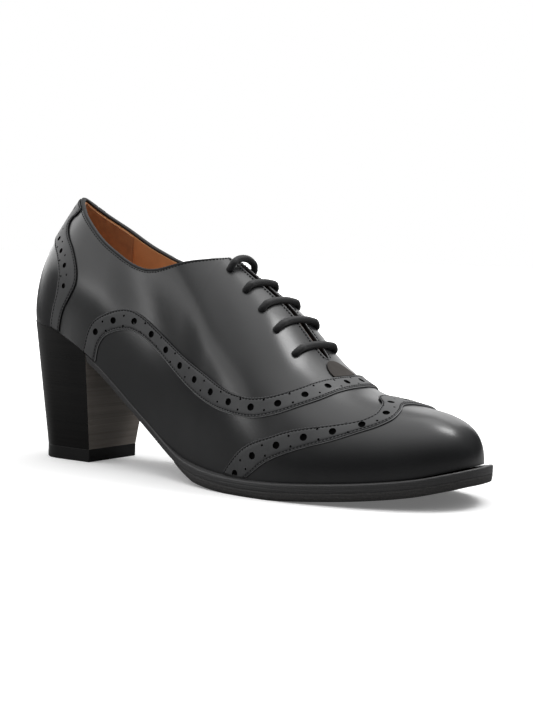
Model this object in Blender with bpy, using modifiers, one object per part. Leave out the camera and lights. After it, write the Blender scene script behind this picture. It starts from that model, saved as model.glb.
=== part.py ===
"""Right shoe of a pair of women's heeled oxford brogues, built piece by piece on its last.

Frame: +X runs from heel to toe, +Y to the wearer's left (the inner side of this right shoe),
+Z up.  The shoe stands on Z = 0 with the origin under the middle of its bounding box.
All design sizes are in millimetres and become metres where a mesh is made.
"""

import math

import bmesh
import bpy
import numpy as np

MM = 0.001
COLLECTION = "heeled_brogue"

# Place of the heel's back point, which is where stations are counted from
HEEL_BACK_X = -117.45
HEEL_AXIS_Y = 2.25

# Driving thicknesses
WALL = 1.8
SEAM_GAP = 0.3
OVERLAY_GAP = 0.35
COUNTER_GAP = 0.7
OVERLAY = 1.1
OUTSOLE = 3.0
TREAD = 3.5
INSOLE = 2.5
TONGUE = 1.6
TOP_PIECE = 6.0
LACE_RADIUS = 1.3

# Sections of the last, from the back of the heel to the tip of the toe.
#  station  feather  outer  inner  height  ridge  side   top    swell
#  from     line     half   half   above   off    power  power  of the
#  heel     height   width  width  feather axis                 wall
LAST = np.array([
    (0.0,   66.5,  0.0,  0.0,  83.5,  0.0, 0.80, 1.00, 0.0),
    (3.0,   65.6,  13.2, 12.8, 84.4,  0.0, 0.80, 1.00, 0.8),
    (12.0,  64.0,  20.4, 20.0, 86.0,  0.0, 0.80, 1.00, 1.2),
    (28.0,  60.4,  24.5, 24.0, 87.6,  0.0, 0.80, 1.00, 1.0),
    (50.0,  48.3,  25.0, 24.0, 89.7, -0.2, 0.84, 1.00, 0.5),
    (75.0,  29.7,  26.0, 23.0, 90.0, -0.9, 0.84, 0.95, 0.0),
    (100.0, 14.0,  30.3, 24.5, 89.6, -1.2, 0.83, 0.90, 0.0),
    (118.0, 8.9,   35.2, 28.5, 82.6, -0.2, 0.82, 0.90, 0.0),
    (140.0, 7.05,  40.5, 34.3, 68.5,  1.0, 0.82, 0.90, 0.0),
    (160.0, 7.05,  41.8, 37.0, 48.4,  1.2, 0.84, 0.90, 0.0),
    (180.0, 8.3,   38.8, 37.0, 35.5,  0.4, 0.83, 0.90, 0.0),
    (200.0, 10.2,  32.8, 33.8, 29.2, -0.3, 0.81, 0.86, 0.0),
    (216.0, 12.5,  25.0, 27.8, 24.0, -0.6, 0.76, 0.85, 0.0),
    (226.0, 15.0,  16.9, 19.9, 17.1, -0.6, 0.72, 0.86, 0.0),
    (231.3, 16.6,  8.8,  10.6, 8.6,  -0.6, 0.70, 0.90, 0.0),
    (233.0, 17.0,  0.0,  0.0,  0.0,  -0.6, 0.70, 1.00, 0.0),
])
LAST_END = len(LAST) - 1
# Which columns change sign in the mirrored row that closes each end smoothly
HEEL_MIRROR = np.array([1, 1, -1, -1, 1, 1, 1, 1, -1.0])
TOE_MIRROR = np.array([1, 1, -1, -1, -1, 1, 1, 1, 1.0])
SECTIONS = np.vstack([LAST[1] * HEEL_MIRROR, LAST, LAST[-2] * TOE_MIRROR])

# Back of the counter: it swells above the seat, leans forward to the collar and narrows towards it
BACK_SWELL = 3.2
BACK_SWELL_POWER = 0.7
BACK_LEAN = 23.3
BACK_HEIGHT = 62.0
BACK_REACH = 70.0
COLLAR_PINCH = 0.68
PINCH_REACH = 58.0
PINCH_BLEND = 0.35

# Height of the topline over each of the first sections, outer and inner side
TOPLINE = np.array([
    (124.5, 124.5),
    (123.8, 122.6),
    (120.5, 118.4),
    (113.4, 111.2),
    (101.2, 100.7),
    (92.0, 93.8),
    (96.8, 96.0),
    (99.0, 97.0),
])

# Throat: the slot between the two facings, which lies a little to the inner side
FACING_FROM = 5.0
THROAT_END = 9.02
THROAT_CLOSING = 0.35
OUTER_FACING_GAP = 1.1
INNER_FACING_GAP = 3.8

# Edges of the brogued bands as (section, part of the way from feather line to ridge).
#  one edge          other edge
VAMP_BAND = np.array([
    (3.70, 0.006, 4.02, 0.006),
    (3.88, 0.110, 4.10, 0.070),
    (4.23, 0.190, 4.30, 0.130),
    (4.68, 0.270, 4.70, 0.200),
    (5.02, 0.296, 5.02, 0.229),
    (5.48, 0.298, 5.44, 0.233),
    (6.12, 0.293, 6.25, 0.214),
    (6.98, 0.295, 7.13, 0.202),
    (7.62, 0.291, 7.71, 0.207),
    (8.02, 0.305, 8.29, 0.240),
    (8.38, 0.345, 8.72, 0.303),
    (8.78, 0.440, 9.20, 0.428),
    (9.15, 0.591, 9.61, 0.607),
    (9.39, 0.794, 9.80, 0.800),
    (9.50, 1.000, 9.88, 1.000),
])
WING_BAND = np.array([
    (7.80, 0.006, 8.42, 0.006),
    (7.93, 0.033, 8.62, 0.035),
    (8.28, 0.108, 8.89, 0.083),
    (8.91, 0.214, 9.41, 0.170),
    (9.32, 0.297, 9.80, 0.236),
    (10.07, 0.435, 10.28, 0.320),
    (10.58, 0.537, 10.75, 0.430),
    (10.78, 0.629, 11.03, 0.517),
    (10.80, 0.720, 11.24, 0.650),
    (10.68, 0.860, 11.22, 0.810),
    (10.36, 1.000, 11.02, 1.000),
])
COUNTER_BAND = np.array([
    (2.99, 0.006, 2.63, 0.006),
    (3.08, 0.080, 2.70, 0.070),
    (3.24, 0.140, 2.77, 0.125),
    (3.36, 0.200, 2.73, 0.180),
    (3.25, 0.248, 2.55, 0.220),
    (2.93, 0.290, 2.20, 0.255),
    (2.45, 0.325, 1.60, 0.285),
    (2.05, 0.355, 0.90, 0.312),
    (1.84, 0.380, 0.35, 0.328),
    (1.88, 0.405, 0.00, 0.347),
    (2.05, 0.428, 0.00, 0.368),
])
COUNTER_TOP_INSET = 0.012

# Half-moon patch at the foot of the throat: round above, with its base along the vamp band
PATCH_TOP = 9.05
PATCH_FOOT = 9.45
PATCH_BOW = 0.08
PATCH_HALF_WIDTH = 9.5

# Lacing: section of each bar, share of the way up where its holes lie, and its rise at mid span
LACE_BARS = (
    (6.78, 0.880, 2.2),
    (7.33, 0.835, 0.6),
    (7.78, 0.806, 0.4),
    (8.21, 0.785, 0.4),
    (8.70, 0.790, 0.4),
)

TONGUE_TOP = 6.42
TONGUE_FOOT = 9.30
TONGUE_EDGE = 0.74
TONGUE_GAP = 0.8

# Welt margin of the sole outside the feather line
MARGIN_WAIST = 0.6
MARGIN_FOREPART = 3.7
MARGIN_FROM = 85.0
MARGIN_TO = 132.0

# Rear end of the tread: it thins out to a feathered edge across the waist
TREAD_FROM = 104.0
TREAD_FULL = 118.0
TREAD_LIP = 0.7

# Block heel
BREAST_TOP_X = 44.5
BREAST_BOTTOM_X = 40.8
HEEL_BOTTOM_BACK = 6.2
HEEL_BOTTOM_STRAIGHT = 20.0
HEEL_BOTTOM_HALF = 17.0
HEEL_ARC_SECTIONS = 2.3
HEEL_MARGIN = 0.4

# Colour, roughness and metallic value of each material
FINISHES = {
    "black_leather": ((0.018, 0.019, 0.021), 0.42, 0.0),
    "patch_leather": ((0.045, 0.040, 0.038), 0.70, 0.0),
    "tongue_leather": ((0.030, 0.020, 0.016), 0.60, 0.0),
    "tan_lining": ((0.36, 0.17, 0.075), 0.60, 0.0),
    "sole_composite": ((0.030, 0.030, 0.032), 0.50, 0.0),
    "tread_rubber": ((0.045, 0.045, 0.047), 0.85, 0.0),
    "stacked_heel": ((0.022, 0.020, 0.019), 0.30, 0.0),
    "heel_rubber": ((0.020, 0.020, 0.021), 0.80, 0.0),
    "waxed_cord": ((0.012, 0.012, 0.013), 0.55, 0.0),
}


# Shape of the last


def between(rows, t, before, after):
    """Smooth values of a table at row number t; before and after continue its ends."""
    padded = np.vstack([before, rows, after])
    t = np.clip(np.asarray(t, float), 0.0, len(rows) - 1.0)
    i = np.minimum(t.astype(int), len(rows) - 2)
    f = (t - i)[..., None]
    a, b, c, d = padded[i], padded[i + 1], padded[i + 2], padded[i + 3]
    start, end = (c - a) / 2, (d - b) / 2
    rise = f * f * (3 - 2 * f)
    return b + (c - b) * rise + start * f * (1 - f) ** 2 - end * f * f * (1 - f)


def section(t):
    """The columns of LAST at section number t."""
    values = between(LAST, t, SECTIONS[0], SECTIONS[-1])
    return np.moveaxis(values, -1, 0)


def last_point(t, v, side):
    """Point of the last: v runs from the feather line (0) to the ridge (1), side is -1 outer, 1 inner."""
    t, v, side = np.broadcast_arrays(*(np.asarray(a, float) for a in (t, v, side)))
    x, feather, outer, inner, height, ridge, side_power, top_power, swell = section(t)
    half = np.where(side < 0, outer, inner).clip(0)
    angle = np.clip(v, 0, 1) * math.pi / 2
    across = np.cos(angle).clip(0) ** side_power
    up = np.sin(angle) ** top_power
    bulge = swell * np.sin(math.pi * np.clip(2 * v, 0, 1)) ** 2
    lift = np.clip(height * up / BACK_HEIGHT, 0, 1.3)
    swell_out = BACK_SWELL * np.sin(math.pi * np.clip(lift, 0, 1) ** BACK_SWELL_POWER)
    lean = BACK_LEAN * lift**2 - swell_out
    fade = np.clip(1 - x / BACK_REACH, 0, 1) ** 1.5
    ahead = 1 - x / PINCH_REACH
    rounded = np.clip(ahead + PINCH_BLEND, 0, None) ** 2 / (4 * PINCH_BLEND)
    pinch = COLLAR_PINCH * np.clip(lift, 0, 1.1) * np.where(ahead > PINCH_BLEND, ahead, rounded)
    centre = ridge * (1 - across) * np.clip((outer + inner) / 20, 0, 1)
    y = centre + side * (half * across + bulge) * (1 - pinch)
    return np.stack([x + lean * fade, y, feather + height * up], -1)


def last_normal(t, v, side):
    """Outward normal of the last."""
    step = 0.004
    t0, t1 = np.clip(t - step, 0, LAST_END), np.clip(t + step, 0, LAST_END)
    v0, v1 = np.clip(v - step, 0, 1), np.clip(v + step, 0, 1)
    along = last_point(t1, v, side) - last_point(t0, v, side)
    up = last_point(t, v1, side) - last_point(t, v0, side)
    normal = np.cross(along, up) * -np.asarray(side, float)[..., None]
    return normal / np.linalg.norm(normal, axis=-1, keepdims=True).clip(1e-9)


def skin(t, v, side, lift):
    """Point at a distance outside the last."""
    t, v, side = np.broadcast_arrays(*(np.asarray(a, float) for a in (t, v, side)))
    normal = last_normal(t, v, side)
    heel_seam = t < 1e-6
    normal[..., 1] = np.where(heel_seam, 0.0, normal[..., 1])
    ridge_seam = v > 1 - 1e-6
    flat = last_normal(t, np.minimum(v, 0.995), np.ones_like(side))
    flat = flat + last_normal(t, np.minimum(v, 0.995), -np.ones_like(side))
    flat = flat / np.linalg.norm(flat, axis=-1, keepdims=True).clip(1e-9)
    normal = np.where(ridge_seam[..., None], flat, normal)
    return last_point(t, v, side) + lift * normal


def share_at_height(t, z):
    """How far up the section (0 to 1) the height z lies."""
    _, feather, _, _, height, _, _, top_power, _ = section(t)
    up = np.clip((z - feather) / np.maximum(height, 1e-6), 0, 1)
    return np.arcsin(up ** (1 / top_power)) * 2 / math.pi


def topline_share(t, side):
    """Share of the section at the collar."""
    heights = between(TOPLINE, t, TOPLINE[1], 2 * TOPLINE[-1] - TOPLINE[-2])
    return share_at_height(t, np.where(np.asarray(side) < 0, heights[..., 0], heights[..., 1]))


def facing_share(t, side):
    """Share of the section at the edge of the throat slot; 1 where the slot is closed."""
    _, _, outer, inner, _, _, side_power, _, _ = section(t)
    half = np.where(np.asarray(side) < 0, outer, inner)
    widest = np.where(np.asarray(side) < 0, OUTER_FACING_GAP, INNER_FACING_GAP)
    open_part = np.clip((THROAT_END - t) / THROAT_CLOSING, 0, 1)
    gap = widest * np.sqrt(open_part * (2 - open_part))
    return np.arccos(np.clip(gap / half.clip(1), 0, 1) ** (1 / side_power)) * 2 / math.pi


def upper_edge(t, side):
    """Share of the section where the upper ends: collar, facing or closed ridge."""
    collar = np.where(t < len(TOPLINE) - 1, topline_share(np.minimum(t, len(TOPLINE) - 1), side), 1.0)
    facing = np.where((t > FACING_FROM) & (t < THROAT_END), facing_share(t, side), 1.0)
    return np.minimum(collar, facing)


def margin_at(x):
    """How far the sole reaches outside the feather line."""
    f = np.clip((x - MARGIN_FROM) / (MARGIN_TO - MARGIN_FROM), 0, 1)
    return MARGIN_WAIST + (MARGIN_FOREPART - MARGIN_WAIST) * f * f * (3 - 2 * f)


def outline(t, side, margin):
    """Plan point and feather height of the bottom's edge, a margin outside the feather line."""
    step = 0.004
    t = np.asarray(t, float)
    here = last_point(t, 0.0, side)
    ahead = last_point(np.clip(t + step, 0, LAST_END), 0.0, side)
    behind = last_point(np.clip(t - step, 0, LAST_END), 0.0, side)
    along = ahead - behind
    normal = np.stack([along[..., 1], -along[..., 0]], -1) * -np.asarray(side, float)
    normal[t < 1e-6] = (-1.0, 0.0)
    normal[t > LAST_END - 1e-6] = (1.0, 0.0)
    normal = normal / np.linalg.norm(normal, axis=-1, keepdims=True).clip(1e-9)
    here[..., :2] += normal * np.asarray(margin, float)[..., None]
    return here


def section_at(x):
    """Section number at station x."""
    numbers = np.linspace(0, LAST_END, 1501)
    return np.interp(x, section(numbers)[0], numbers)


# Meshes and objects


def material(name):
    """Principled material from FINISHES."""
    found = bpy.data.materials.get(name)
    if found:
        return found
    colour, roughness, metallic = FINISHES[name]
    made = bpy.data.materials.new(name)
    made.use_nodes = True
    shader = made.node_tree.nodes["Principled BSDF"]
    shader.inputs["Base Color"].default_value = (*colour, 1.0)
    shader.inputs["Roughness"].default_value = roughness
    shader.inputs["Metallic"].default_value = metallic
    return made


def add_object(name, data, finish):
    """Put a mesh or curve in the shoe's collection."""
    made = bpy.data.objects.new(name, data)
    data.materials.append(material(finish))
    bpy.data.collections[COLLECTION].objects.link(made)
    return made


def to_world(points):
    """Design millimetres to metres in the shoe's frame."""
    return (np.asarray(points, float) + (HEEL_BACK_X, HEEL_AXIS_Y, 0.0)) * MM


def grid_faces(rows, columns, close=False, skip=()):
    """Quads of a grid whose points run column by column along each row."""
    faces = []
    for i in range(rows - 1):
        for j in range(columns if close else columns - 1):
            if j in skip:
                continue
            k = (j + 1) % columns
            faces.append((i * columns + j, (i + 1) * columns + j, (i + 1) * columns + k, i * columns + k))
    return faces


def mesh_from(name, points, faces, weld=0.02):
    """Mesh with coincident points welded and collapsed faces removed."""
    mesh = bpy.data.meshes.new(name)
    mesh.from_pydata([tuple(p) for p in to_world(points)], [], faces)
    work = bmesh.new()
    work.from_mesh(mesh)
    bmesh.ops.remove_doubles(work, verts=work.verts, dist=weld * MM)
    bmesh.ops.dissolve_degenerate(work, edges=work.edges, dist=weld * MM * 0.5)
    work.to_mesh(mesh)
    work.free()
    mesh.shade_smooth()
    return mesh


def shell(name, points, faces, finish, thickness, outward):
    """Open surface thickened to one side."""
    made = add_object(name, mesh_from(name, points, faces), finish)
    solid = made.modifiers.new("wall", "SOLIDIFY")
    solid.thickness = thickness * MM
    solid.offset = 1.0 if outward else -1.0
    solid.use_even_offset = True
    solid.thickness_clamp = 1.0
    return made


def closed(name, points, faces, finish):
    """Closed body made from lofted rings; its faces are turned outwards."""
    mesh = mesh_from(name, points, faces)
    work = bmesh.new()
    work.from_mesh(mesh)
    bmesh.ops.recalc_face_normals(work, faces=work.faces)
    work.to_mesh(mesh)
    work.free()
    return add_object(name, mesh, finish)


# Pieces


def build_upper():
    """Hollow upper, open at the collar, the throat and underneath."""
    rows = np.concatenate([
        np.linspace(0.0, 3.0, 15),
        np.linspace(3.25, 6.0, 11),
        np.linspace(6.15, THROAT_END, 17),
        np.linspace(THROAT_END + 0.22, LAST_END, 21),
    ])
    steps = np.array([0.0, 0.09, 0.19, 0.30, 0.42, 0.55, 0.68, 0.80, 0.89, 0.955, 1.0])
    points = []
    for t in rows:
        for side in (-1.0, 1.0):
            edge = float(upper_edge(np.array(t), side))
            share = edge * steps if side < 0 else edge * steps[::-1]
            points.append(last_point(np.full(len(steps), t), share, side))
    points = np.concatenate(points)
    columns = 2 * len(steps)
    faces = grid_faces(len(rows), columns, skip=(len(steps) - 1,))
    return shell("upper", points, faces, "black_leather", WALL, outward=False)


def band_points(edges, per_row, across, side, gap=OVERLAY_GAP):
    """Rows of points across a band, from its table of edges, on one side of the shoe."""
    count = (len(edges) - 1) * per_row + 1
    before, after = 2 * edges[0] - edges[1], 2 * edges[-1] - edges[-2]
    after[1::2] = 2 - edges[-2][1::2]
    after[0::2] = edges[-2][0::2]
    if edges[-1][1] < 1:
        after = 2 * edges[-1] - edges[-2]
    values = between(edges, np.linspace(0, len(edges) - 1, count), before, after)
    w = np.linspace(0, 1, across)[None, :]
    t = values[:, 0:1] * (1 - w) + values[:, 2:3] * w
    v = np.clip(values[:, 1:2] * (1 - w) + values[:, 3:4] * w, 0, 1)
    return skin(np.clip(t, 0, LAST_END), v, np.full_like(t, side), gap)


def build_band(name, edges, per_row, across):
    """Brogued band that runs up the outer side, over the ridge and down the inner side."""
    outer = band_points(edges, per_row, across, -1.0)
    inner = band_points(edges, per_row, across, 1.0)[::-1]
    rows = np.concatenate([outer, inner[1:]])
    faces = grid_faces(len(rows), across)
    faces = [tuple(reversed(f)) for f in faces]
    return shell(name, rows.reshape(-1, 3), faces, "black_leather", OVERLAY, outward=True)


def build_counter_band():
    """Brogued counter piece: two legs that join in a tab behind the collar."""
    lowest = np.minimum(TOPLINE[:, 0], TOPLINE[:, 1])
    sections = np.array([2.16, 1.50, 0.80, 0.12])
    collar = share_at_height(sections, np.interp(sections, np.arange(len(TOPLINE)), lowest)) - COUNTER_TOP_INSET
    tab = np.array([
        (sections[0], collar[0], 0.0, 0.390),
        (sections[1], collar[1], 0.0, 0.420),
        (sections[2], collar[2], 0.0, 0.447),
        (sections[3], collar[3], 0.0, 0.470),
    ])
    across = 8
    outer = band_points(np.vstack([COUNTER_BAND, tab]), 2, across, -1.0, COUNTER_GAP)
    inner = band_points(np.vstack([COUNTER_BAND, tab]), 2, across, 1.0, COUNTER_GAP)
    count = len(outer)
    faces = grid_faces(count, across)
    mirrored = [tuple(i + count * across for i in reversed(f)) for f in faces]
    points = np.concatenate([outer.reshape(-1, 3), inner.reshape(-1, 3)])
    return shell("counter_band", points, faces + mirrored, "black_leather", OVERLAY, outward=True)


def build_throat_patch():
    """Half-moon patch over the foot of the throat."""
    rows, across = 9, 9
    points = []
    for part in np.linspace(0.985, 0.0, rows):
        half = PATCH_HALF_WIDTH * math.sqrt(1 - part**2)
        for w in np.linspace(-1, 1, across):
            side = -1.0 if w < 0 else 1.0
            foot = PATCH_FOOT - PATCH_BOW * w**2
            t = foot - (foot - PATCH_TOP) * part
            _, _, outer, inner, _, _, power, _, _ = section(np.array(t))
            width = float(outer if side < 0 else inner)
            share = math.acos((half * abs(w) / width) ** (1 / float(power))) * 2 / math.pi
            points.append(skin(t, share, side, OVERLAY_GAP))
    faces = grid_faces(rows, across)
    return shell("throat_patch", np.array(points), faces, "patch_leather", OVERLAY, outward=True)


def build_tongue():
    """Tongue under the facings, from the vamp to the collar."""
    rows, across = 22, 11
    points = []
    for t in np.linspace(TONGUE_TOP, TONGUE_FOOT, rows):
        for w in np.linspace(-1, 1, across):
            side = -1.0 if w < 0 else 1.0
            share = 1 - (1 - TONGUE_EDGE) * abs(w)
            points.append(skin(t, share, side, -(WALL + TONGUE_GAP)))
    faces = grid_faces(rows, across)
    return shell("tongue", np.array(points), faces, "tongue_leather", TONGUE, outward=False)


def slab(name, numbers, margins_top, margins_low, top, low, finish):
    """Plate between two heights over the bottom of the shoe; the toe end runs to a point or a cut."""
    rings = []
    for k, t in enumerate(numbers):
        t = np.array([t])
        ring = []
        for side, margins, level in (
            (-1.0, margins_top, top), (1.0, margins_top, top), (1.0, margins_low, low), (-1.0, margins_low, low),
        ):
            p = outline(t, side, np.array([margins[k]]))[0]
            p[2] = level[k]
            ring.append(p)
        rings.append(ring)
    points = np.array(rings).reshape(-1, 3)
    count = len(numbers)
    faces = grid_faces(count, 4, close=True)
    faces.append((0, 1, 2, 3))
    faces.append(tuple((count - 1) * 4 + i for i in (3, 2, 1, 0)))
    return closed(name, points, faces, finish)


def build_insole():
    """Insole inside the feather line."""
    numbers = np.concatenate([np.linspace(0.35, 13.0, 34), [13.4, 13.8, 14.1]])
    _, feather, *_ = section(numbers)
    inset = np.full(len(numbers), -(WALL + 0.7))
    base = feather + 0.1
    return slab("insole", numbers, inset, inset, base + INSOLE, base, "tan_lining")


def build_outsole():
    """Outsole from the heel breast to the toe."""
    numbers = section_at(np.concatenate([
        np.linspace(BREAST_TOP_X + 0.4, 120.0, 15),
        np.linspace(125.0, 226.0, 18),
    ]))
    numbers = np.concatenate([numbers, np.linspace(13.3, LAST_END, 7)])
    x, feather, *_ = section(numbers)
    margin = margin_at(x)
    undercut = np.interp(x, (60.0, 115.0), (1.6, 0.0))
    top = feather - SEAM_GAP
    return slab("outsole", numbers, margin, margin - undercut, top, top - OUTSOLE, "sole_composite")


def build_tread():
    """Rubber tread of the forepart, flat under the ball, with a feathered rear end."""
    numbers = section_at(np.concatenate([
        np.linspace(TREAD_FROM, TREAD_FULL, 5),
        np.linspace(122.0, 226.0, 20),
    ]))
    numbers = np.concatenate([numbers, np.linspace(13.3, LAST_END, 7)])
    x, feather, *_ = section(numbers)
    margin = margin_at(x)
    top = feather - 2 * SEAM_GAP - OUTSOLE
    thick = np.interp(x, (TREAD_FROM, TREAD_FULL), (TREAD_LIP, TREAD))
    low = np.maximum(top - thick, 0.0)
    return slab("tread", numbers, margin, margin - 0.5, top, low, "tread_rubber")


def heel_base(part, side, grow=0.0):
    """Plan point of the heel's bottom outline, part 0 at the back to 1 at the breast corner."""
    arc = 0.62
    middle = BREAST_BOTTOM_X - HEEL_BOTTOM_STRAIGHT
    if part < arc:
        angle = part / arc * math.pi / 2
        x = middle - (middle - HEEL_BOTTOM_BACK + grow) * math.cos(angle)
        return x, side * (HEEL_BOTTOM_HALF + grow) * math.sin(angle)
    run = (part - arc) / (1 - arc)
    return middle + run * (HEEL_BOTTOM_STRAIGHT + grow), side * (HEEL_BOTTOM_HALF + grow)


def heel_loop(level):
    """Ring of heel points: level 0 at the seat, 1 at the foot of the block."""
    breast = float(section_at(BREAST_TOP_X))
    parts = np.concatenate([np.linspace(0, 0.62, 9), np.linspace(0.62, 1.0, 6)[1:]])
    sides = []
    for side in (-1.0, 1.0):
        ring = []
        for part in parts:
            share = part / 0.62 * HEEL_ARC_SECTIONS
            if part > 0.62:
                share = HEEL_ARC_SECTIONS + (part - 0.62) / 0.38 * (breast - HEEL_ARC_SECTIONS)
            seat = outline(np.array([share]), side, np.array([HEEL_MARGIN]))[0]
            seat[2] -= SEAM_GAP
            x, y = heel_base(part, side)
            foot = np.array([x, y, TOP_PIECE + SEAM_GAP])
            ring.append(seat * (1 - level) + foot * level)
        sides.append(ring)
    return np.array(sides)


def build_heel():
    """Stacked block heel between the seat and the top piece."""
    levels = [heel_loop(level) for level in np.linspace(0, 1, 6)]
    count = levels[0].shape[1]
    points, faces = [], []
    for sides in levels:
        points.extend(sides[0])
        points.extend(sides[1])
    per = 2 * count
    for k in range(len(levels) - 1):
        a, b = k * per, (k + 1) * per
        for i in range(count - 1):
            faces.append((a + i, a + i + 1, b + i + 1, b + i))
            faces.append((a + count + i, b + count + i, b + count + i + 1, a + count + i + 1))
        faces.append((a + count - 1, a + per - 1, b + per - 1, b + count - 1))
    foot = (len(levels) - 1) * per
    for start in (0, foot):
        for i in range(count - 1):
            faces.append((start + i, start + i + 1, start + count + i + 1, start + count + i))
    return closed("heel", np.array(points), faces, "stacked_heel")


def build_top_piece():
    """Rubber top piece under the heel."""
    parts = np.concatenate([np.linspace(0, 0.62, 9), [1.0]])
    ring = [heel_base(part, -1.0, 0.2) for part in parts]
    ring += [heel_base(part, 1.0, 0.2) for part in parts[:0:-1]]
    count = len(ring)
    points = [(x, y, 0.0) for x, y in ring] + [(x, y, TOP_PIECE) for x, y in ring]
    faces = [(i, (i + 1) % count, count + (i + 1) % count, count + i) for i in range(count)]
    faces.append(tuple(range(count)))
    faces.append(tuple(range(2 * count - 1, count - 1, -1)))
    return closed("top_piece", np.array(points), faces, "heel_rubber")


def build_lace_bar(number, t, share, rise):
    """One bar of lace from hole to hole across the facings."""
    w = np.linspace(-1, 1, 11)
    side = np.where(w < 0, -1.0, 1.0)
    v = 1 - (1 - share) * np.abs(w)
    route = skin(np.full_like(w, t), v, side, LACE_RADIUS + OVERLAY_GAP)
    route[:, 2] += rise * (1 - w**2)
    curve = bpy.data.curves.new(f"lace_bar_{number}", "CURVE")
    curve.dimensions = "3D"
    curve.bevel_depth = LACE_RADIUS * MM
    curve.bevel_resolution = 2
    curve.use_fill_caps = True
    spline = curve.splines.new("POLY")
    spline.points.add(len(route) - 1)
    for point, place in zip(spline.points, to_world(route)):
        point.co = (*place, 1.0)
    return add_object(f"lace_bar_{number}", curve, "waxed_cord")


def main():
    """Clear the scene and build every piece of the shoe."""
    for old in list(bpy.data.objects):
        bpy.data.objects.remove(old, do_unlink=True)
    pieces = bpy.data.collections.new(COLLECTION)
    bpy.context.scene.collection.children.link(pieces)
    build_upper()
    build_band("vamp_band", VAMP_BAND, 3, 3)
    build_band("wing_band", WING_BAND, 3, 4)
    build_counter_band()
    build_throat_patch()
    build_tongue()
    build_insole()
    build_outsole()
    build_tread()
    build_heel()
    build_top_piece()
    for number, (t, share, rise) in enumerate(LACE_BARS, start=1):
        build_lace_bar(number, t, share, rise)


main()
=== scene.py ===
"""Looks of the right shoe of a pair of women's heeled oxford brogues.

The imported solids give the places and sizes.  This script lays the finished surfaces over them: the upper
with its soft folds and lining, the punched bands, stitches, lace, sole edges and stacked heel.
Design sizes are in millimetres from the back of the heel and become metres where a mesh is made.
"""

import logging
import math
from dataclasses import dataclass
from enum import Enum
from typing import Any, Optional, Sequence, Union

import bmesh
import bpy
import numpy as np
from mathutils import Matrix, Vector


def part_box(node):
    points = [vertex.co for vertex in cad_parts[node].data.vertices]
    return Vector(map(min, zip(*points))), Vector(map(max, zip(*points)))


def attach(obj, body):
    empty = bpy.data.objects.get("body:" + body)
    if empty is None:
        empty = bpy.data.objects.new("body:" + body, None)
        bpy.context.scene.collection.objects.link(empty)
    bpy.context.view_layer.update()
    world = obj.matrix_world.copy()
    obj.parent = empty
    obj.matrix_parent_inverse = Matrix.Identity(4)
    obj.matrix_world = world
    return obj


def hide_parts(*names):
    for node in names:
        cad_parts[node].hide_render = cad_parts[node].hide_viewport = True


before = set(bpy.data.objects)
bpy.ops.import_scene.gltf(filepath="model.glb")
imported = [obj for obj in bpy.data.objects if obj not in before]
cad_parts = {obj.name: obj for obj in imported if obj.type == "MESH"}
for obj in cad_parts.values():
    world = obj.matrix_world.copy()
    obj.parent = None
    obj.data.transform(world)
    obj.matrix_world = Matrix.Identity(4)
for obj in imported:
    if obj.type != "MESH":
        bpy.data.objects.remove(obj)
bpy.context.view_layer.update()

LOG = logging.getLogger("brogue")
MM = 0.001
BODY = "root"
Array = np.ndarray
Colour = tuple[float, float, float]

# Sections of the last, from the back of the heel to the tip of the toe.
#  station  feather  outer  inner  height  ridge  side   top    swell
#  from     line     half   half   above   off    power  power  of the
#  heel     height   width  width  feather axis                 wall
LAST_ROWS = np.array([
    (0.0,   66.5,  0.0,  0.0,  83.5,  0.0, 0.80, 1.00, 0.0),
    (3.0,   65.6,  13.2, 12.8, 84.4,  0.0, 0.80, 1.00, 0.8),
    (12.0,  64.0,  20.4, 20.0, 86.0,  0.0, 0.80, 1.00, 1.2),
    (28.0,  60.4,  24.5, 24.0, 87.6,  0.0, 0.80, 1.00, 1.0),
    (50.0,  48.3,  25.0, 24.0, 89.7, -0.2, 0.84, 1.00, 0.5),
    (75.0,  29.7,  26.0, 23.0, 90.0, -0.9, 0.84, 0.95, 0.0),
    (100.0, 14.0,  30.3, 24.5, 89.6, -1.2, 0.83, 0.90, 0.0),
    (118.0, 8.9,   35.2, 28.5, 82.6, -0.2, 0.82, 0.90, 0.0),
    (140.0, 7.05,  40.5, 34.3, 68.5,  1.0, 0.82, 0.90, 0.0),
    (160.0, 7.05,  41.8, 37.0, 48.4,  1.2, 0.84, 0.90, 0.0),
    (180.0, 8.3,   38.8, 37.0, 35.5,  0.4, 0.83, 0.90, 0.0),
    (200.0, 10.2,  32.8, 33.8, 29.2, -0.3, 0.81, 0.86, 0.0),
    (216.0, 12.5,  25.0, 27.8, 24.0, -0.6, 0.76, 0.85, 0.0),
    (226.0, 15.0,  16.9, 19.9, 17.1, -0.6, 0.72, 0.86, 0.0),
    (231.3, 16.6,  8.8,  10.6, 8.6,  -0.6, 0.70, 0.90, 0.0),
    (233.0, 17.0,  0.0,  0.0,  0.0,  -0.6, 0.70, 1.00, 0.0),
])
LAST_END = len(LAST_ROWS) - 1
# Which columns change sign in the mirrored row that closes each end smoothly
HEEL_MIRROR = np.array([1, 1, -1, -1, 1, 1, 1, 1, -1.0])
TOE_MIRROR = np.array([1, 1, -1, -1, -1, 1, 1, 1, 1.0])

# Height of the topline over each of the first sections, outer and inner side
TOPLINE = np.array([
    (124.5, 124.5),
    (123.8, 122.6),
    (120.5, 118.4),
    (113.4, 111.2),
    (101.2, 100.7),
    (92.0, 93.8),
    (96.8, 96.0),
    (99.0, 97.0),
])

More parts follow.
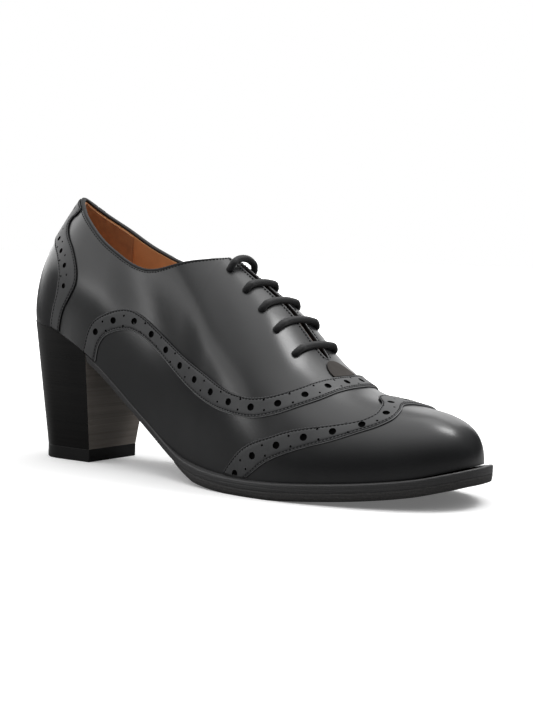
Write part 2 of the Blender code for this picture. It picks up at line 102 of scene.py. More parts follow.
# Edges of the brogued bands as (section, part of the way from feather line to ridge).
#  one edge          other edge
VAMP_EDGES = np.array([
    (3.70, 0.006, 4.02, 0.006),
    (3.88, 0.110, 4.10, 0.070),
    (4.23, 0.190, 4.30, 0.130),
    (4.68, 0.270, 4.70, 0.200),
    (5.02, 0.296, 5.02, 0.229),
    (5.48, 0.298, 5.44, 0.233),
    (6.12, 0.293, 6.25, 0.214),
    (6.98, 0.295, 7.13, 0.202),
    (7.62, 0.291, 7.71, 0.207),
    (8.02, 0.305, 8.29, 0.240),
    (8.38, 0.345, 8.72, 0.303),
    (8.78, 0.440, 9.20, 0.428),
    (9.15, 0.591, 9.61, 0.607),
    (9.39, 0.794, 9.80, 0.800),
    (9.50, 1.000, 9.88, 1.000),
])
WING_EDGES = np.array([
    (7.80, 0.006, 8.42, 0.006),
    (7.93, 0.033, 8.62, 0.035),
    (8.28, 0.108, 8.89, 0.083),
    (8.91, 0.214, 9.41, 0.170),
    (9.32, 0.297, 9.80, 0.236),
    (10.07, 0.435, 10.28, 0.320),
    (10.58, 0.537, 10.75, 0.430),
    (10.78, 0.629, 11.03, 0.517),
    (10.80, 0.720, 11.24, 0.650),
    (10.68, 0.860, 11.22, 0.810),
    (10.36, 1.000, 11.02, 1.000),
])
COUNTER_EDGES = np.array([
    (2.99, 0.006, 2.63, 0.006),
    (3.08, 0.080, 2.70, 0.070),
    (3.24, 0.140, 2.77, 0.125),
    (3.36, 0.200, 2.73, 0.180),
    (3.25, 0.248, 2.55, 0.220),
    (2.93, 0.290, 2.20, 0.255),
    (2.45, 0.325, 1.60, 0.285),
    (2.05, 0.355, 0.90, 0.312),
    (1.84, 0.380, 0.35, 0.328),
    (1.87, 0.399, 0.00, 0.347),
    (2.02, 0.4125, 0.00, 0.368),
])
# Tab behind the collar: section of its front edge, just under the collar, and its foot at the back
COUNTER_TAB = np.array([
    (2.12, 0.390),
    (1.50, 0.420),
    (0.80, 0.447),
    (0.12, 0.470),
])
COUNTER_TOP_INSET = 0.008
# Large holes of the counter piece as (section, part of the way up)
COUNTER_HOLES = np.array([
    (3.01, 0.162),
    (2.86, 0.227),
    (2.43, 0.269),
    (1.81, 0.309),
    (0.94, 0.364),
    (1.12, 0.440),
])

# Lacing from the top: section of each bar, share of the way up where its holes lie, rise at mid span
LACE_BARS = (
    (6.78, 0.880, 2.2),
    (7.33, 0.835, 0.6),
    (7.78, 0.806, 0.4),
    (8.21, 0.785, 0.4),
    (8.70, 0.790, 0.4),
)

# Section of the collar binding as (outwards, downwards) from the collar's edge
BINDING_SECTION = (
    (0.00, 0.95), (0.18, 0.85), (0.26, 0.45), (0.16, -0.08), (-0.25, -0.32), (-0.90, -0.36),
    (-1.50, -0.28), (-1.90, -0.04), (-2.00, 0.14), (-1.90, 0.24), (-1.40, 0.30), (-0.60, 0.70),
)
# Edges of the plates of the bottom as (share of the thickness from the top, how far the edge stands in)
OUTSOLE_PROFILE = (
    (0.0, 0.45), (0.04, 0.18), (0.14, 0.0), (0.50, 0.0), (0.55, 0.04), (0.60, 0.0), (0.95, 0.0), (1.0, 0.12),
)
TREAD_PROFILE = (
    (0.0, 0.14), (0.05, 0.03), (0.32, 0.08), (0.37, 0.12), (0.42, 0.10), (0.90, 0.35), (1.0, 0.75),
)
INSOLE_PROFILE = ((0.0, 0.5), (0.08, 0.15), (0.3, 0.0), (1.0, 0.0))


class Side(Enum):
    """Side of the shoe, with its sign across the last."""

    OUTER = -1.0
    INNER = 1.0


class Hole(Enum):
    """Punch sizes, as radius in millimetres."""

    LARGE = 1.55
    MEDIUM = 1.25
    SMALL = 0.50
    EYELET = 1.75


class Nap(Enum):
    """How the face of a lining feels."""

    SMOOTH = "smooth"
    SUEDE = "suede"


# Tables, meshes and node trees


def between(rows: Array, t: Array, before: Array, after: Array) -> Array:
    """Read a table smoothly between its rows.

    Args:
        rows: the table, one row for each whole number of t.
        t: row numbers, whole or not.
        before: row that continues the table ahead of its first.
        after: row that continues it past its last.

    Returns:
        The table's columns at t, along the last axis.
    """
    padded = np.vstack([before, rows, after])
    t = np.clip(np.asarray(t, float), 0.0, len(rows) - 1.0)
    i = np.minimum(t.astype(int), len(rows) - 2)
    f = (t - i)[..., None]
    a, b, c, d = padded[i], padded[i + 1], padded[i + 2], padded[i + 3]
    start, end = (c - a) / 2, (d - b) / 2
    rise = f * f * (3 - 2 * f)
    return b + (c - b) * rise + start * f * (1 - f) ** 2 - end * f * f * (1 - f)


def arrays(*values: Any) -> Sequence[Array]:
    """Values as arrays of one shape."""
    return np.broadcast_arrays(*(np.asarray(value, float) for value in values))


def unit(vectors: Array) -> Array:
    """Vectors scaled to length one."""
    return vectors / np.linalg.norm(vectors, axis=-1, keepdims=True).clip(1e-9)


def smooth_step(x: Array) -> Array:
    """Ease from 0 to 1 over the range 0 to 1."""
    f = np.clip(x, 0.0, 1.0)
    return f * f * (3 - 2 * f)


def running_length(points: Array) -> Array:
    """Length along a line of points, from its start to each point."""
    steps = np.linalg.norm(np.diff(points, axis=0), axis=-1)
    return np.concatenate([[0.0], np.cumsum(steps)])


def relax(line: Array, times: int) -> None:
    """Smooth a line of points or vectors between its ends."""
    for _ in range(times):
        line[1:-1] = (line[:-2] + 2 * line[1:-1] + line[2:]) / 4


def sign_of(w: Array) -> Array:
    """Side of the shoe for places across it: below zero lies on the outer side."""
    return np.where(w < 0, Side.OUTER.value, Side.INNER.value)


def smooth_route(points: Array, spacing: float) -> Array:
    """Round curve through a few points.

    Args:
        points: the route's own points.
        spacing: distance between the points that are returned.

    Returns:
        Evenly spaced points along the curve.
    """
    count = len(points)
    fine = between(points, np.linspace(0, count - 1, 24 * count), 2 * points[0] - points[1],
                   2 * points[-1] - points[-2])
    along = running_length(fine)
    even = np.linspace(0, along[-1], max(4, int(along[-1] / spacing)))
    return np.stack([np.interp(even, along, fine[:, k]) for k in range(3)], -1)


def shoe_origin() -> Array:
    """Place of the heel's back point in the frame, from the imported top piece, in millimetres."""
    low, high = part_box("top_piece")
    return np.array([low.x / MM - BlockHeel.foot_back + BlockHeel.lift_grow, (low.y + high.y) / 2 / MM, 0.0])


def to_frame(points: Array) -> Array:
    """Design millimetres to metres in the shoe's frame."""
    return (np.asarray(points, float) + shoe_origin()) * MM


def grid_faces(rows: int, columns: int, close: bool = False, skip: Sequence[int] = ()) -> list[tuple]:
    """Quads of a grid.

    Args:
        rows: number of rows.
        columns: number of points in each row.
        close: whether the last column joins the first.
        skip: columns that start no quad.

    Returns:
        Faces as tuples of point numbers.
    """
    faces = []
    for i in range(rows - 1):
        for j in range(columns if close else columns - 1):
            if j in skip:
                continue
            k = (j + 1) % columns
            faces.append((i * columns + j, (i + 1) * columns + j, (i + 1) * columns + k, i * columns + k))
    return faces


def ring_faces(rows: int, columns: int) -> list[tuple]:
    """Quads of a row of closed rings, with a face over each end."""
    first, last = range(columns), range((rows - 1) * columns, rows * columns)
    return grid_faces(rows, columns, close=True) + [tuple(first), tuple(reversed(last))]


def new_object(name: str, mesh: bpy.types.Mesh, finish: Optional[bpy.types.Material]) -> bpy.types.Object:
    """Put a mesh in the scene with its material.

    Args:
        name: name of the object.
        mesh: its mesh.
        finish: its material, or None for a guide.

    Returns:
        The new object.
    """
    made = bpy.data.objects.new(name, mesh)
    if finish is not None:
        mesh.materials.append(finish)
    bpy.context.scene.collection.objects.link(made)
    return made


def mesh_object(name: str, points: Array, faces: list[tuple], finish: bpy.types.Material,
                outward: bool = False) -> bpy.types.Object:
    """Mesh with its coincident points welded.

    Args:
        name: name of the piece.
        points: places in design millimetres.
        faces: faces as tuples of point numbers.
        finish: material of the piece.
        outward: whether to turn a closed body's faces outwards.

    Returns:
        The new object.
    """
    mesh = bpy.data.meshes.new(name)
    mesh.from_pydata([tuple(p) for p in to_frame(points)], [], faces)
    work = bmesh.new()
    work.from_mesh(mesh)
    bmesh.ops.remove_doubles(work, verts=work.verts, dist=0.012 * MM)
    bmesh.ops.dissolve_degenerate(work, edges=work.edges, dist=0.006 * MM)
    if outward:
        bmesh.ops.recalc_face_normals(work, faces=work.faces)
    work.to_mesh(mesh)
    work.free()
    mesh.shade_smooth()
    return new_object(name, mesh, finish)


def thicken(piece: bpy.types.Object, thickness: float, outward: bool) -> None:
    """Give an open surface a wall.

    Args:
        piece: the surface.
        thickness: wall in millimetres.
        outward: whether the wall grows on the outer side.
    """
    wall = piece.modifiers.new("wall", "SOLIDIFY")
    wall.thickness = thickness * MM
    wall.offset = 1.0 if outward else -1.0


def plain_mesh(piece: bpy.types.Object, sharp_deg: float = 40.0) -> bpy.types.Object:
    """Turn the evaluated object into a plain mesh and drop its modifiers.

    Args:
        piece: object with live modifiers.
        sharp_deg: edges that bend more than this stay sharp.

    Returns:
        The same object.
    """
    graph = bpy.context.evaluated_depsgraph_get()
    mesh = bpy.data.meshes.new_from_object(
        piece.evaluated_get(graph), preserve_all_data_layers=True, depsgraph=graph)
    mesh.name = piece.name
    piece.modifiers.clear()
    piece.data = mesh
    mesh.shade_smooth()
    mesh.set_sharp_from_angle(angle=math.radians(sharp_deg))
    return piece


def fit(piece: bpy.types.Object, slot: str, *nodes: str) -> bpy.types.Object:
    """Ride a finished piece on the shoe.

    Args:
        piece: the finished piece.
        slot: material slot of the record that it belongs to, which is only logged here.
        nodes: solids that it stands for.

    Returns:
        The same object.
    """
    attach(piece, BODY)
    if nodes:
        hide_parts(*nodes)
    LOG.info("%s: %d faces, slot %s", piece.name, len(piece.data.polygons), slot)
    return piece


class Sketch:
    """Adds nodes to a tree and links them as it goes."""

    def __init__(self, tree: bpy.types.NodeTree) -> None:
        """Work on the given tree."""
        self.tree = tree
        self.inputs: Any = None

    @classmethod
    def geometry(cls, name: str, sockets: dict[str, str]) -> "Sketch":
        """Start a Geometry Nodes tree.

        Args:
            name: name of the tree.
            sockets: name and kind of each input beside the geometry.

        Returns:
            A sketch whose inputs are the tree's own.
        """
        tree = bpy.data.node_groups.new(name, "GeometryNodeTree")
        tree.interface.new_socket(name="Geometry", in_out="INPUT", socket_type="NodeSocketGeometry")
        for label, kind in sockets.items():
            tree.interface.new_socket(name=label, in_out="INPUT", socket_type="NodeSocket" + kind)
        tree.interface.new_socket(name="Geometry", in_out="OUTPUT", socket_type="NodeSocketGeometry")
        made = cls(tree)
        made.inputs = tree.nodes.new("NodeGroupInput").outputs
        return made

    def add(self, kind: str, links: Optional[dict[Union[str, int], Any]] = None, **settings: Any) -> Any:
        """Add one node.

        Args:
            kind: Blender's name of the node.
            links: value, node or socket for each input.
            settings: properties of the node.

        Returns:
            The new node.
        """
        node = self.tree.nodes.new(kind)
        for key, value in settings.items():
            setattr(node, key, value)
        for key, value in (links or {}).items():
            self.join(node.inputs[key], value)
        return node

    def join(self, socket: Any, value: Any) -> None:
        """Link a socket to a node or socket, or set its own value.

        Args:
            socket: input to fill.
            value: node, socket or plain value.
        """
        if isinstance(value, bpy.types.Node):
            value = value.outputs[0]
        if isinstance(value, bpy.types.NodeSocket):
            self.tree.links.new(value, socket)
        else:
            socket.default_value = value

    def math(self, operation: str, *values: Any) -> Any:
        """Add a Math node on the given values."""
        return self.add("ShaderNodeMath", dict(enumerate(values)), operation=operation)

    def span(self, value: Any, low: float, high: float) -> Any:
        """Map a value of 0 to 1 onto a range."""
        return self.add("ShaderNodeMapRange", {"Value": value, "To Min": low, "To Max": high})

    def named(self, name: str, kind: str) -> Any:
        """Read a named value of the geometry."""
        return self.add("GeometryNodeInputNamedAttribute", {"Name": name}, data_type=kind)

    def even_line(self, mesh: Any, step: Any) -> Any:
        """Follow the edges of a mesh with a curve of evenly spaced points."""
        line = self.add("GeometryNodeMeshToCurve", {"Mesh": mesh})
        return self.add("GeometryNodeResampleCurve", {"Curve": line, "Length": step}, mode="LENGTH")

    def capture(self, geometry: Any, name: str, value: Any) -> Any:
        """Keep a value on the points of a curve.

        Args:
            geometry: the curve.
            name: name of the value.
            value: node or socket that gives it.

        Returns:
            The new node.
        """
        node = self.add("GeometryNodeCaptureAttribute", {"Geometry": geometry}, domain="POINT")
        node.capture_items.new("FLOAT", name)
        self.join(node.inputs[name], value)
        return node

    def realize(self, geometry: Any) -> Any:
        """Make instances real."""
        return self.add("GeometryNodeRealizeInstances", {"Geometry": geometry})

    def dress(self, geometry: Any, material: Any, where: Any = True) -> Any:
        """Set the material of a geometry where a value holds."""
        return self.add("GeometryNodeSetMaterial", {
            "Geometry": geometry, "Selection": where, "Material": material})

    def finish(self, geometry: Any) -> bpy.types.NodeTree:
        """Lead the geometry to the tree's output."""
        self.add("NodeGroupOutput", {0: geometry})
        return self.tree


def grow(piece: bpy.types.Object, tree: bpy.types.NodeTree, values: dict[str, Any],
         sharp_deg: float = 40.0) -> bpy.types.Object:
    """Run a Geometry Nodes tree on a piece and keep the result as a plain mesh.

    Args:
        piece: source object, which becomes the result.
        tree: the tree to run.
        values: value of each named input.
        sharp_deg: edges that bend more than this stay sharp.

    Returns:
        The same object.
    """
    nodes = piece.modifiers.new(tree.name, "NODES")
    nodes.node_group = tree
    for item in tree.interface.items_tree:
        if item.in_out == "INPUT" and item.name in values:
            nodes[item.identifier] = values[item.name]
    return plain_mesh(piece, sharp_deg)


def stitch_tree() -> bpy.types.NodeTree:
    """Tree that lays one stitch after another along lines on a surface.

    Returns:
        The tree.
    """
    sketch = Sketch.geometry("stitch_rows", {
        "Pitch": "Float", "Half Length": "Float", "Radius": "Float", "Thread": "Material"})
    given = sketch.inputs
    spaced = sketch.even_line(given["Geometry"], given["Pitch"])
    turn = sketch.add("FunctionNodeAxesToRotation", {
        "Primary Axis": sketch.add("GeometryNodeInputTangent"),
        "Secondary Axis": sketch.named("surface_normal", "FLOAT_VECTOR")},
        primary_axis="X", secondary_axis="Z")
    size = sketch.add("ShaderNodeCombineXYZ", {
        "X": given["Half Length"], "Y": given["Radius"], "Z": given["Radius"]})
    bead = sketch.add("GeometryNodeMeshUVSphere", {"Segments": 6, "Rings": 5, "Radius": 1.0})
    rows = sketch.add("GeometryNodeInstanceOnPoints", {
        "Points": spaced, "Instance": bead, "Rotation": turn, "Scale": size})
    return sketch.finish(sketch.dress(sketch.realize(rows), given["Thread"]))


def punch_tree() -> bpy.types.NodeTree:
    """Tree that punches round holes through a closed wall at the points of another object.

    Returns:
        The tree.
    """
    sketch = Sketch.geometry("punched_holes", {
        "Holes": "Object", "Depth": "Float", "Face": "Material", "Cut Edge": "Material", "Folded": "Bool"})
    given = sketch.inputs
    holes = sketch.add("GeometryNodeObjectInfo", {"Object": given["Holes"]}, transform_space="RELATIVE")
    radius = sketch.named("hole_radius", "FLOAT")
    turn = sketch.add("FunctionNodeAlignRotationToVector", {
        "Vector": sketch.named("surface_normal", "FLOAT_VECTOR")}, axis="Z")
    size = sketch.add("ShaderNodeCombineXYZ", {"X": radius, "Y": radius, "Z": given["Depth"]})
    drill = sketch.add("GeometryNodeMeshCylinder", {"Vertices": 20, "Radius": 1.0, "Depth": 1.0})
    drills = sketch.add("GeometryNodeInstanceOnPoints", {
        "Points": holes.outputs["Geometry"], "Instance": drill, "Rotation": turn, "Scale": size})
    # The drill's faces, the walls and floors of the holes, are marked for the near-black material: painted
    # shade inside the holes
    marked = sketch.add("GeometryNodeStoreNamedAttribute", {
        "Geometry": sketch.realize(drills), "Name": "cut_edge", "Value": True},
        data_type="BOOLEAN", domain="FACE")
    cut = sketch.add("GeometryNodeMeshBoolean", {
        "Mesh 1": given["Geometry"], "Mesh 2": marked, "Self Intersection": given["Folded"]},
        operation="DIFFERENCE", solver="EXACT")
    face = sketch.dress(sketch.realize(cut), given["Face"])
    return sketch.finish(sketch.dress(face, given["Cut Edge"], sketch.named("cut_edge", "BOOLEAN")))


def braid_tree() -> bpy.types.NodeTree:
    """Tree that makes a round braided cord along a line.

    Returns:
        The tree.
    """
    sketch = Sketch.geometry("braided_cord", {
        "Radius": "Float", "Step": "Float", "Plait": "Float", "Strands": "Float", "Relief": "Float",
        "Cord": "Material"})
    given = sketch.inputs
    spaced = sketch.even_line(given["Geometry"], given["Step"])
    spline = sketch.add("GeometryNodeSplineParameter").outputs
    along = sketch.capture(spaced, "along", spline["Length"])
    ring = sketch.add("GeometryNodeCurvePrimitiveCircle", {
        "Resolution": 20, "Radius": given["Radius"]}, mode="RADIUS")
    around = sketch.capture(ring, "around", spline["Factor"])
    tube = sketch.add("GeometryNodeCurveToMesh", {
        "Curve": along.outputs["Geometry"], "Profile Curve": around.outputs["Geometry"], "Fill Caps": True})
    lengthwise = sketch.math("DIVIDE", along.outputs["along"], given["Plait"])
    crosswise = sketch.math("MULTIPLY", around.outputs["around"], given["Strands"])
    waves = [sketch.math("COSINE", sketch.math("MULTIPLY", turns, math.tau))
             for turns in (lengthwise, crosswise)]
    wave = sketch.math("MULTIPLY", *waves)
    lift = sketch.add("ShaderNodeVectorMath", {
        0: sketch.add("GeometryNodeInputNormal"), "Scale": sketch.math("MULTIPLY", wave, given["Relief"])},
        operation="SCALE")
    plaited = sketch.add("GeometryNodeSetPosition", {"Geometry": tube, "Offset": lift.outputs["Vector"]})
    return sketch.finish(sketch.dress(sketch.realize(plaited), given["Cord"]))


def guide_mesh(name: str, points: Array, edges: list[tuple], values: dict[str, Array]) -> bpy.types.Object:
    """Points or lines with named values, which a tree then reads.

    Args:
        name: name of the object.
        points: places in design millimetres.
        edges: pairs of neighbouring points.
        values: named values, one number or vector for each point.

    Returns:
        The new object.
    """
    mesh = bpy.data.meshes.new(name)
    mesh.from_pydata([tuple(p) for p in to_frame(points)], edges, [])
    for label, data in values.items():
        data = np.asarray(data, np.float32)
        vector = data.ndim == 2
        stored = mesh.attributes.new(label, "FLOAT_VECTOR" if vector else "FLOAT", "POINT")
        stored.data.foreach_set("vector" if vector else "value", data.ravel())
    return new_object(name, mesh, None)


# Finishes


class Surface:
    """A material in the making, with its tree, its shader's inputs and the places on the piece."""

    def __init__(self, name: str, roughness: float) -> None:
        """Start a material with an even roughness.

        Args:
            name: name of the material.
            roughness: roughness of the shader.
        """
        self.material = bpy.data.materials.new(name)
        self.material.use_nodes = True
        self.sketch = Sketch(self.material.node_tree)
        self.inputs = self.material.node_tree.nodes["Principled BSDF"].inputs
        self.place: Any = self.sketch.add("ShaderNodeTexCoord").outputs["Object"]
        self.set({"Roughness": roughness})

    def set(self, values: dict[str, Any]) -> None:
        """Set or link the shader's inputs by name."""
        for name, value in values.items():
            self.sketch.join(self.inputs[name], value)

    def noise(self, scale: float, detail: float, roughness: float = 0.5) -> Any:
        """Add noise over the places on the piece."""
        return self.sketch.add("ShaderNodeTexNoise", {
            "Vector": self.place, "Scale": scale, "Detail": detail, "Roughness": roughness})

    def tint(self, factor: Any, *stops: tuple[float, Colour]) -> None:
        """Colour the surface by a factor, between two stops.

        Args:
            factor: node or socket from 0 to 1.
            stops: factor and colour of each stop.
        """
        ramp = self.sketch.add("ShaderNodeValToRGB", {"Fac": factor})
        for element, (place, colour) in zip(ramp.color_ramp.elements, stops):
            element.position = place
            element.color = (*colour, 1.0)
        self.set({"Base Color": ramp})

    def roughen(self, factor: Any, low: float, high: float) -> None:
        """Let a factor vary the roughness between two levels."""
        self.set({"Roughness": self.sketch.span(factor, low, high)})

    def bump(self, height: Any, strength: float, depth: float) -> None:
        """Raise the surface by a height, to a depth in millimetres."""
        self.set({"Normal": self.sketch.add("ShaderNodeBump", {
            "Height": height, "Strength": strength, "Distance": depth * MM})})


@dataclass(frozen=True)
class Leather:
    """Smooth finished leather: fine pebble, soft mottle and a thin coat."""

    name: str
    colour: Colour
    mottle: Colour
    roughness: float = 0.29
    spread: float = 0.06
    pebble: float = 0.85
    relief: float = 0.016
    coat: float = 0.10
    coat_roughness: float = 0.35
    specular: float = 0.5

    def material(self) -> bpy.types.Material:
        """Build the material.

        Returns:
            The material.
        """
        made = Surface(self.name, self.roughness)
        made.tint(made.noise(scale=70.0, detail=4.0), (0.35, self.colour), (0.75, self.mottle))
        fine = made.noise(scale=900.0, detail=3.0)
        made.roughen(fine, self.roughness - self.spread / 2, self.roughness + self.spread / 2)
        cells = made.sketch.add("ShaderNodeTexVoronoi", {
            "Vector": made.place, "Scale": 1.0 / (self.pebble * MM)}, feature="F1")
        pores = made.sketch.math("MULTIPLY", fine, 0.6)
        grain = made.sketch.math("ADD", cells.outputs["Distance"], pores)
        made.bump(grain, strength=0.5, depth=self.relief)
        made.set({"Specular IOR Level": self.specular, "Coat Weight": self.coat,
                  "Coat Roughness": self.coat_roughness})
        return made.material


@dataclass(frozen=True)
class Lining:
    """Tan lining, smooth or with a suede nap."""

    name: str
    colour: Colour
    shade: Colour
    nap: Nap

    def material(self) -> bpy.types.Material:
        """Build the material.

        Returns:
            The material.
        """
        suede = self.nap is Nap.SUEDE
        made = Surface(self.name, 0.85 if suede else 0.55)
        cloud = made.noise(scale=260.0 if suede else 90.0, detail=6.0, roughness=0.65)
        made.tint(cloud, (0.30, self.shade), (0.70, self.colour))
        fibre = made.noise(scale=2200.0, detail=2.0)
        made.bump(fibre, strength=0.6 if suede else 0.25, depth=0.10 if suede else 0.04)
        made.set({"Sheen Weight": 0.35 if suede else 0.05, "Sheen Roughness": 0.5})
        return made.material


@dataclass(frozen=True)
class Rubber:
    """Sole compound with a fine speckle, and trimmed lines along its edge."""

    name: str
    colour: Colour
    fleck: Colour
    roughness: float
    line_pitch: float = 0.0
    relief: float = 0.03
    specular: float = 0.5

    def material(self) -> bpy.types.Material:
        """Build the material.

        Returns:
            The material.
        """
        made = Surface(self.name, self.roughness)
        sketch = made.sketch
        height = speck = made.noise(scale=1500.0, detail=4.0, roughness=0.7)
        made.tint(speck, (0.42, self.colour), (0.72, self.fleck))
        cloud = made.noise(scale=120.0, detail=3.0)
        made.roughen(cloud, self.roughness - 0.08, self.roughness + 0.08)
        if self.line_pitch:
            pitch = self.line_pitch * MM
            level = sketch.add("ShaderNodeSeparateXYZ", {"Vector": made.place}).outputs["Z"]
            waver = sketch.math("MULTIPLY", cloud, 0.25 * pitch)
            phase = sketch.math("MULTIPLY", sketch.math("ADD", level, waver), math.tau / pitch)
            height = sketch.math("ADD", sketch.math("MULTIPLY", speck, 0.5), sketch.math("SINE", phase))
        made.bump(height, strength=0.5, depth=self.relief)
        made.set({"Specular IOR Level": self.specular})
        return made.material


@dataclass(frozen=True)
class StackedLeather:
    """Heel lifts seen edge on: thin layers of slightly different tone under a polish."""

    name: str
    colour: Colour
    layer: Colour
    lift: float
    roughness: float = 0.28
    specular: float = 0.14
    coat: float = 0.05

    def material(self) -> bpy.types.Material:
        """Build the material.

        Returns:
            The material.
        """
        made = Surface(self.name, self.roughness)
        made.place = made.sketch.add("ShaderNodeMapping", {
            "Vector": made.place, "Scale": (6.0, 6.0, 1.0 / (self.lift * MM))})
        layers = made.noise(scale=1.0, detail=3.0, roughness=0.6)
        made.tint(layers, (0.38, self.colour), (0.66, self.layer))
        made.roughen(layers, self.roughness - 0.08, self.roughness + 0.12)
        made.bump(layers, strength=0.35, depth=0.08)
        made.set({"Specular IOR Level": self.specular, "Coat Weight": self.coat, "Coat Roughness": 0.15})
        return made.material


@dataclass(frozen=True)
class Thread:
    """Waxed thread or cord with a fine twist."""

    name: str
    colour: Colour
    fibre: Colour
    roughness: float
    specular: float

    def material(self) -> bpy.types.Material:
        """Build the material.

        Returns:
            The material.
        """
        made = Surface(self.name, self.roughness)
        fuzz = made.noise(scale=2600.0, detail=3.0)
        made.tint(fuzz, (0.40, self.colour), (0.75, self.fibre))
        made.bump(fuzz, strength=0.4, depth=0.05)
        made.set({"Specular IOR Level": self.specular, "Sheen Weight": 0.15})
        return made.material


class Wardrobe:
    """Every finish of the shoe, made once."""

    def __init__(self) -> None:
        """Make the materials."""
        self.upper = Leather("upper_leather", (0.0075, 0.0079, 0.0087), (0.0115, 0.0120, 0.0130)).material()
        # Bands: rougher than the upper, and their grey base colour, lighter than the upper's, is painted
        # sheen standing in for the light that the band's face catches
        self.band = Leather("band_leather", (0.0340, 0.0348, 0.0362), (0.0510, 0.0519, 0.0535),
                            roughness=0.50, relief=0.020, coat=0.05).material()
        self.binding = Leather("binding_leather", (0.0090, 0.0095, 0.0105), (0.0130, 0.0135, 0.0145),
                               roughness=0.55, coat=0.0, specular=0.32).material()
        self.patch = Leather("patch_leather", (0.030, 0.026, 0.023), (0.052, 0.045, 0.040),
                             roughness=0.80, relief=0.08, coat=0.0, specular=0.3).material()
        # Rolled facing edge: the round bead catches real light, and its grey base colour, lighter than the
        # upper's, adds a painted highlight along the edge
        self.edge = Leather("facing_edge", (0.050, 0.051, 0.053), (0.070, 0.071, 0.073),
                            roughness=0.40, coat=0.1).material()
        # Band rims: the pale colour is a painted highlight along the bands' cut edges
        self.rim = Leather("raw_rim", (0.160, 0.161, 0.164), (0.200, 0.201, 0.204),
                           roughness=0.60, coat=0.0).material()
        self.tongue = Leather("tongue_leather", (0.075, 0.031, 0.019), (0.110, 0.048, 0.030),
                              roughness=0.60, coat=0.0).material()
        # Walls and floors of the punched holes: near black with almost no reflection, partly the dark cut
        # edge of the leather and partly painted shade inside the holes
        self.cut = Leather("cut_edge", (0.002, 0.002, 0.002), (0.004, 0.004, 0.004),
                           roughness=0.9, coat=0.0, specular=0.05).material()
        self.lining = Lining("lining_smooth", (0.80, 0.400, 0.180), (0.70, 0.335, 0.145),
                             Nap.SMOOTH).material()
        self.grip = Lining("lining_suede", (0.58, 0.270, 0.112), (0.44, 0.195, 0.078), Nap.SUEDE).material()
        self.sock = Lining("insole_sock", (0.40, 0.190, 0.085), (0.33, 0.150, 0.062), Nap.SMOOTH).material()
        self.sole = Rubber("sole_edge", (0.030, 0.030, 0.031), (0.046, 0.045, 0.045), 0.48,
                           line_pitch=0.9).material()
        self.tread = Rubber("tread_rubber", (0.026, 0.025, 0.025), (0.052, 0.050, 0.049), 0.72,
                            line_pitch=1.2).material()
        self.stack = StackedLeather("stacked_heel", (0.0030, 0.0029, 0.0029), (0.0060, 0.0056, 0.0053),
                                    1.5).material()
        self.breast = StackedLeather("heel_breast", (0.200, 0.177, 0.157), (0.265, 0.236, 0.211), 1.1,
                                     roughness=0.55, coat=0.05).material()
        self.lift = Rubber("heel_rubber", (0.004, 0.004, 0.004), (0.009, 0.009, 0.009), 0.45,
                           specular=0.25).material()
        self.lace = Thread("waxed_cord", (0.005, 0.005, 0.006), (0.015, 0.015, 0.016),
                           roughness=0.62, specular=0.3).material()
        self.thread = Thread("sewing_thread", (0.004, 0.004, 0.005), (0.009, 0.009, 0.010),
                             roughness=0.85, specular=0.15).material()


# Shape of the last


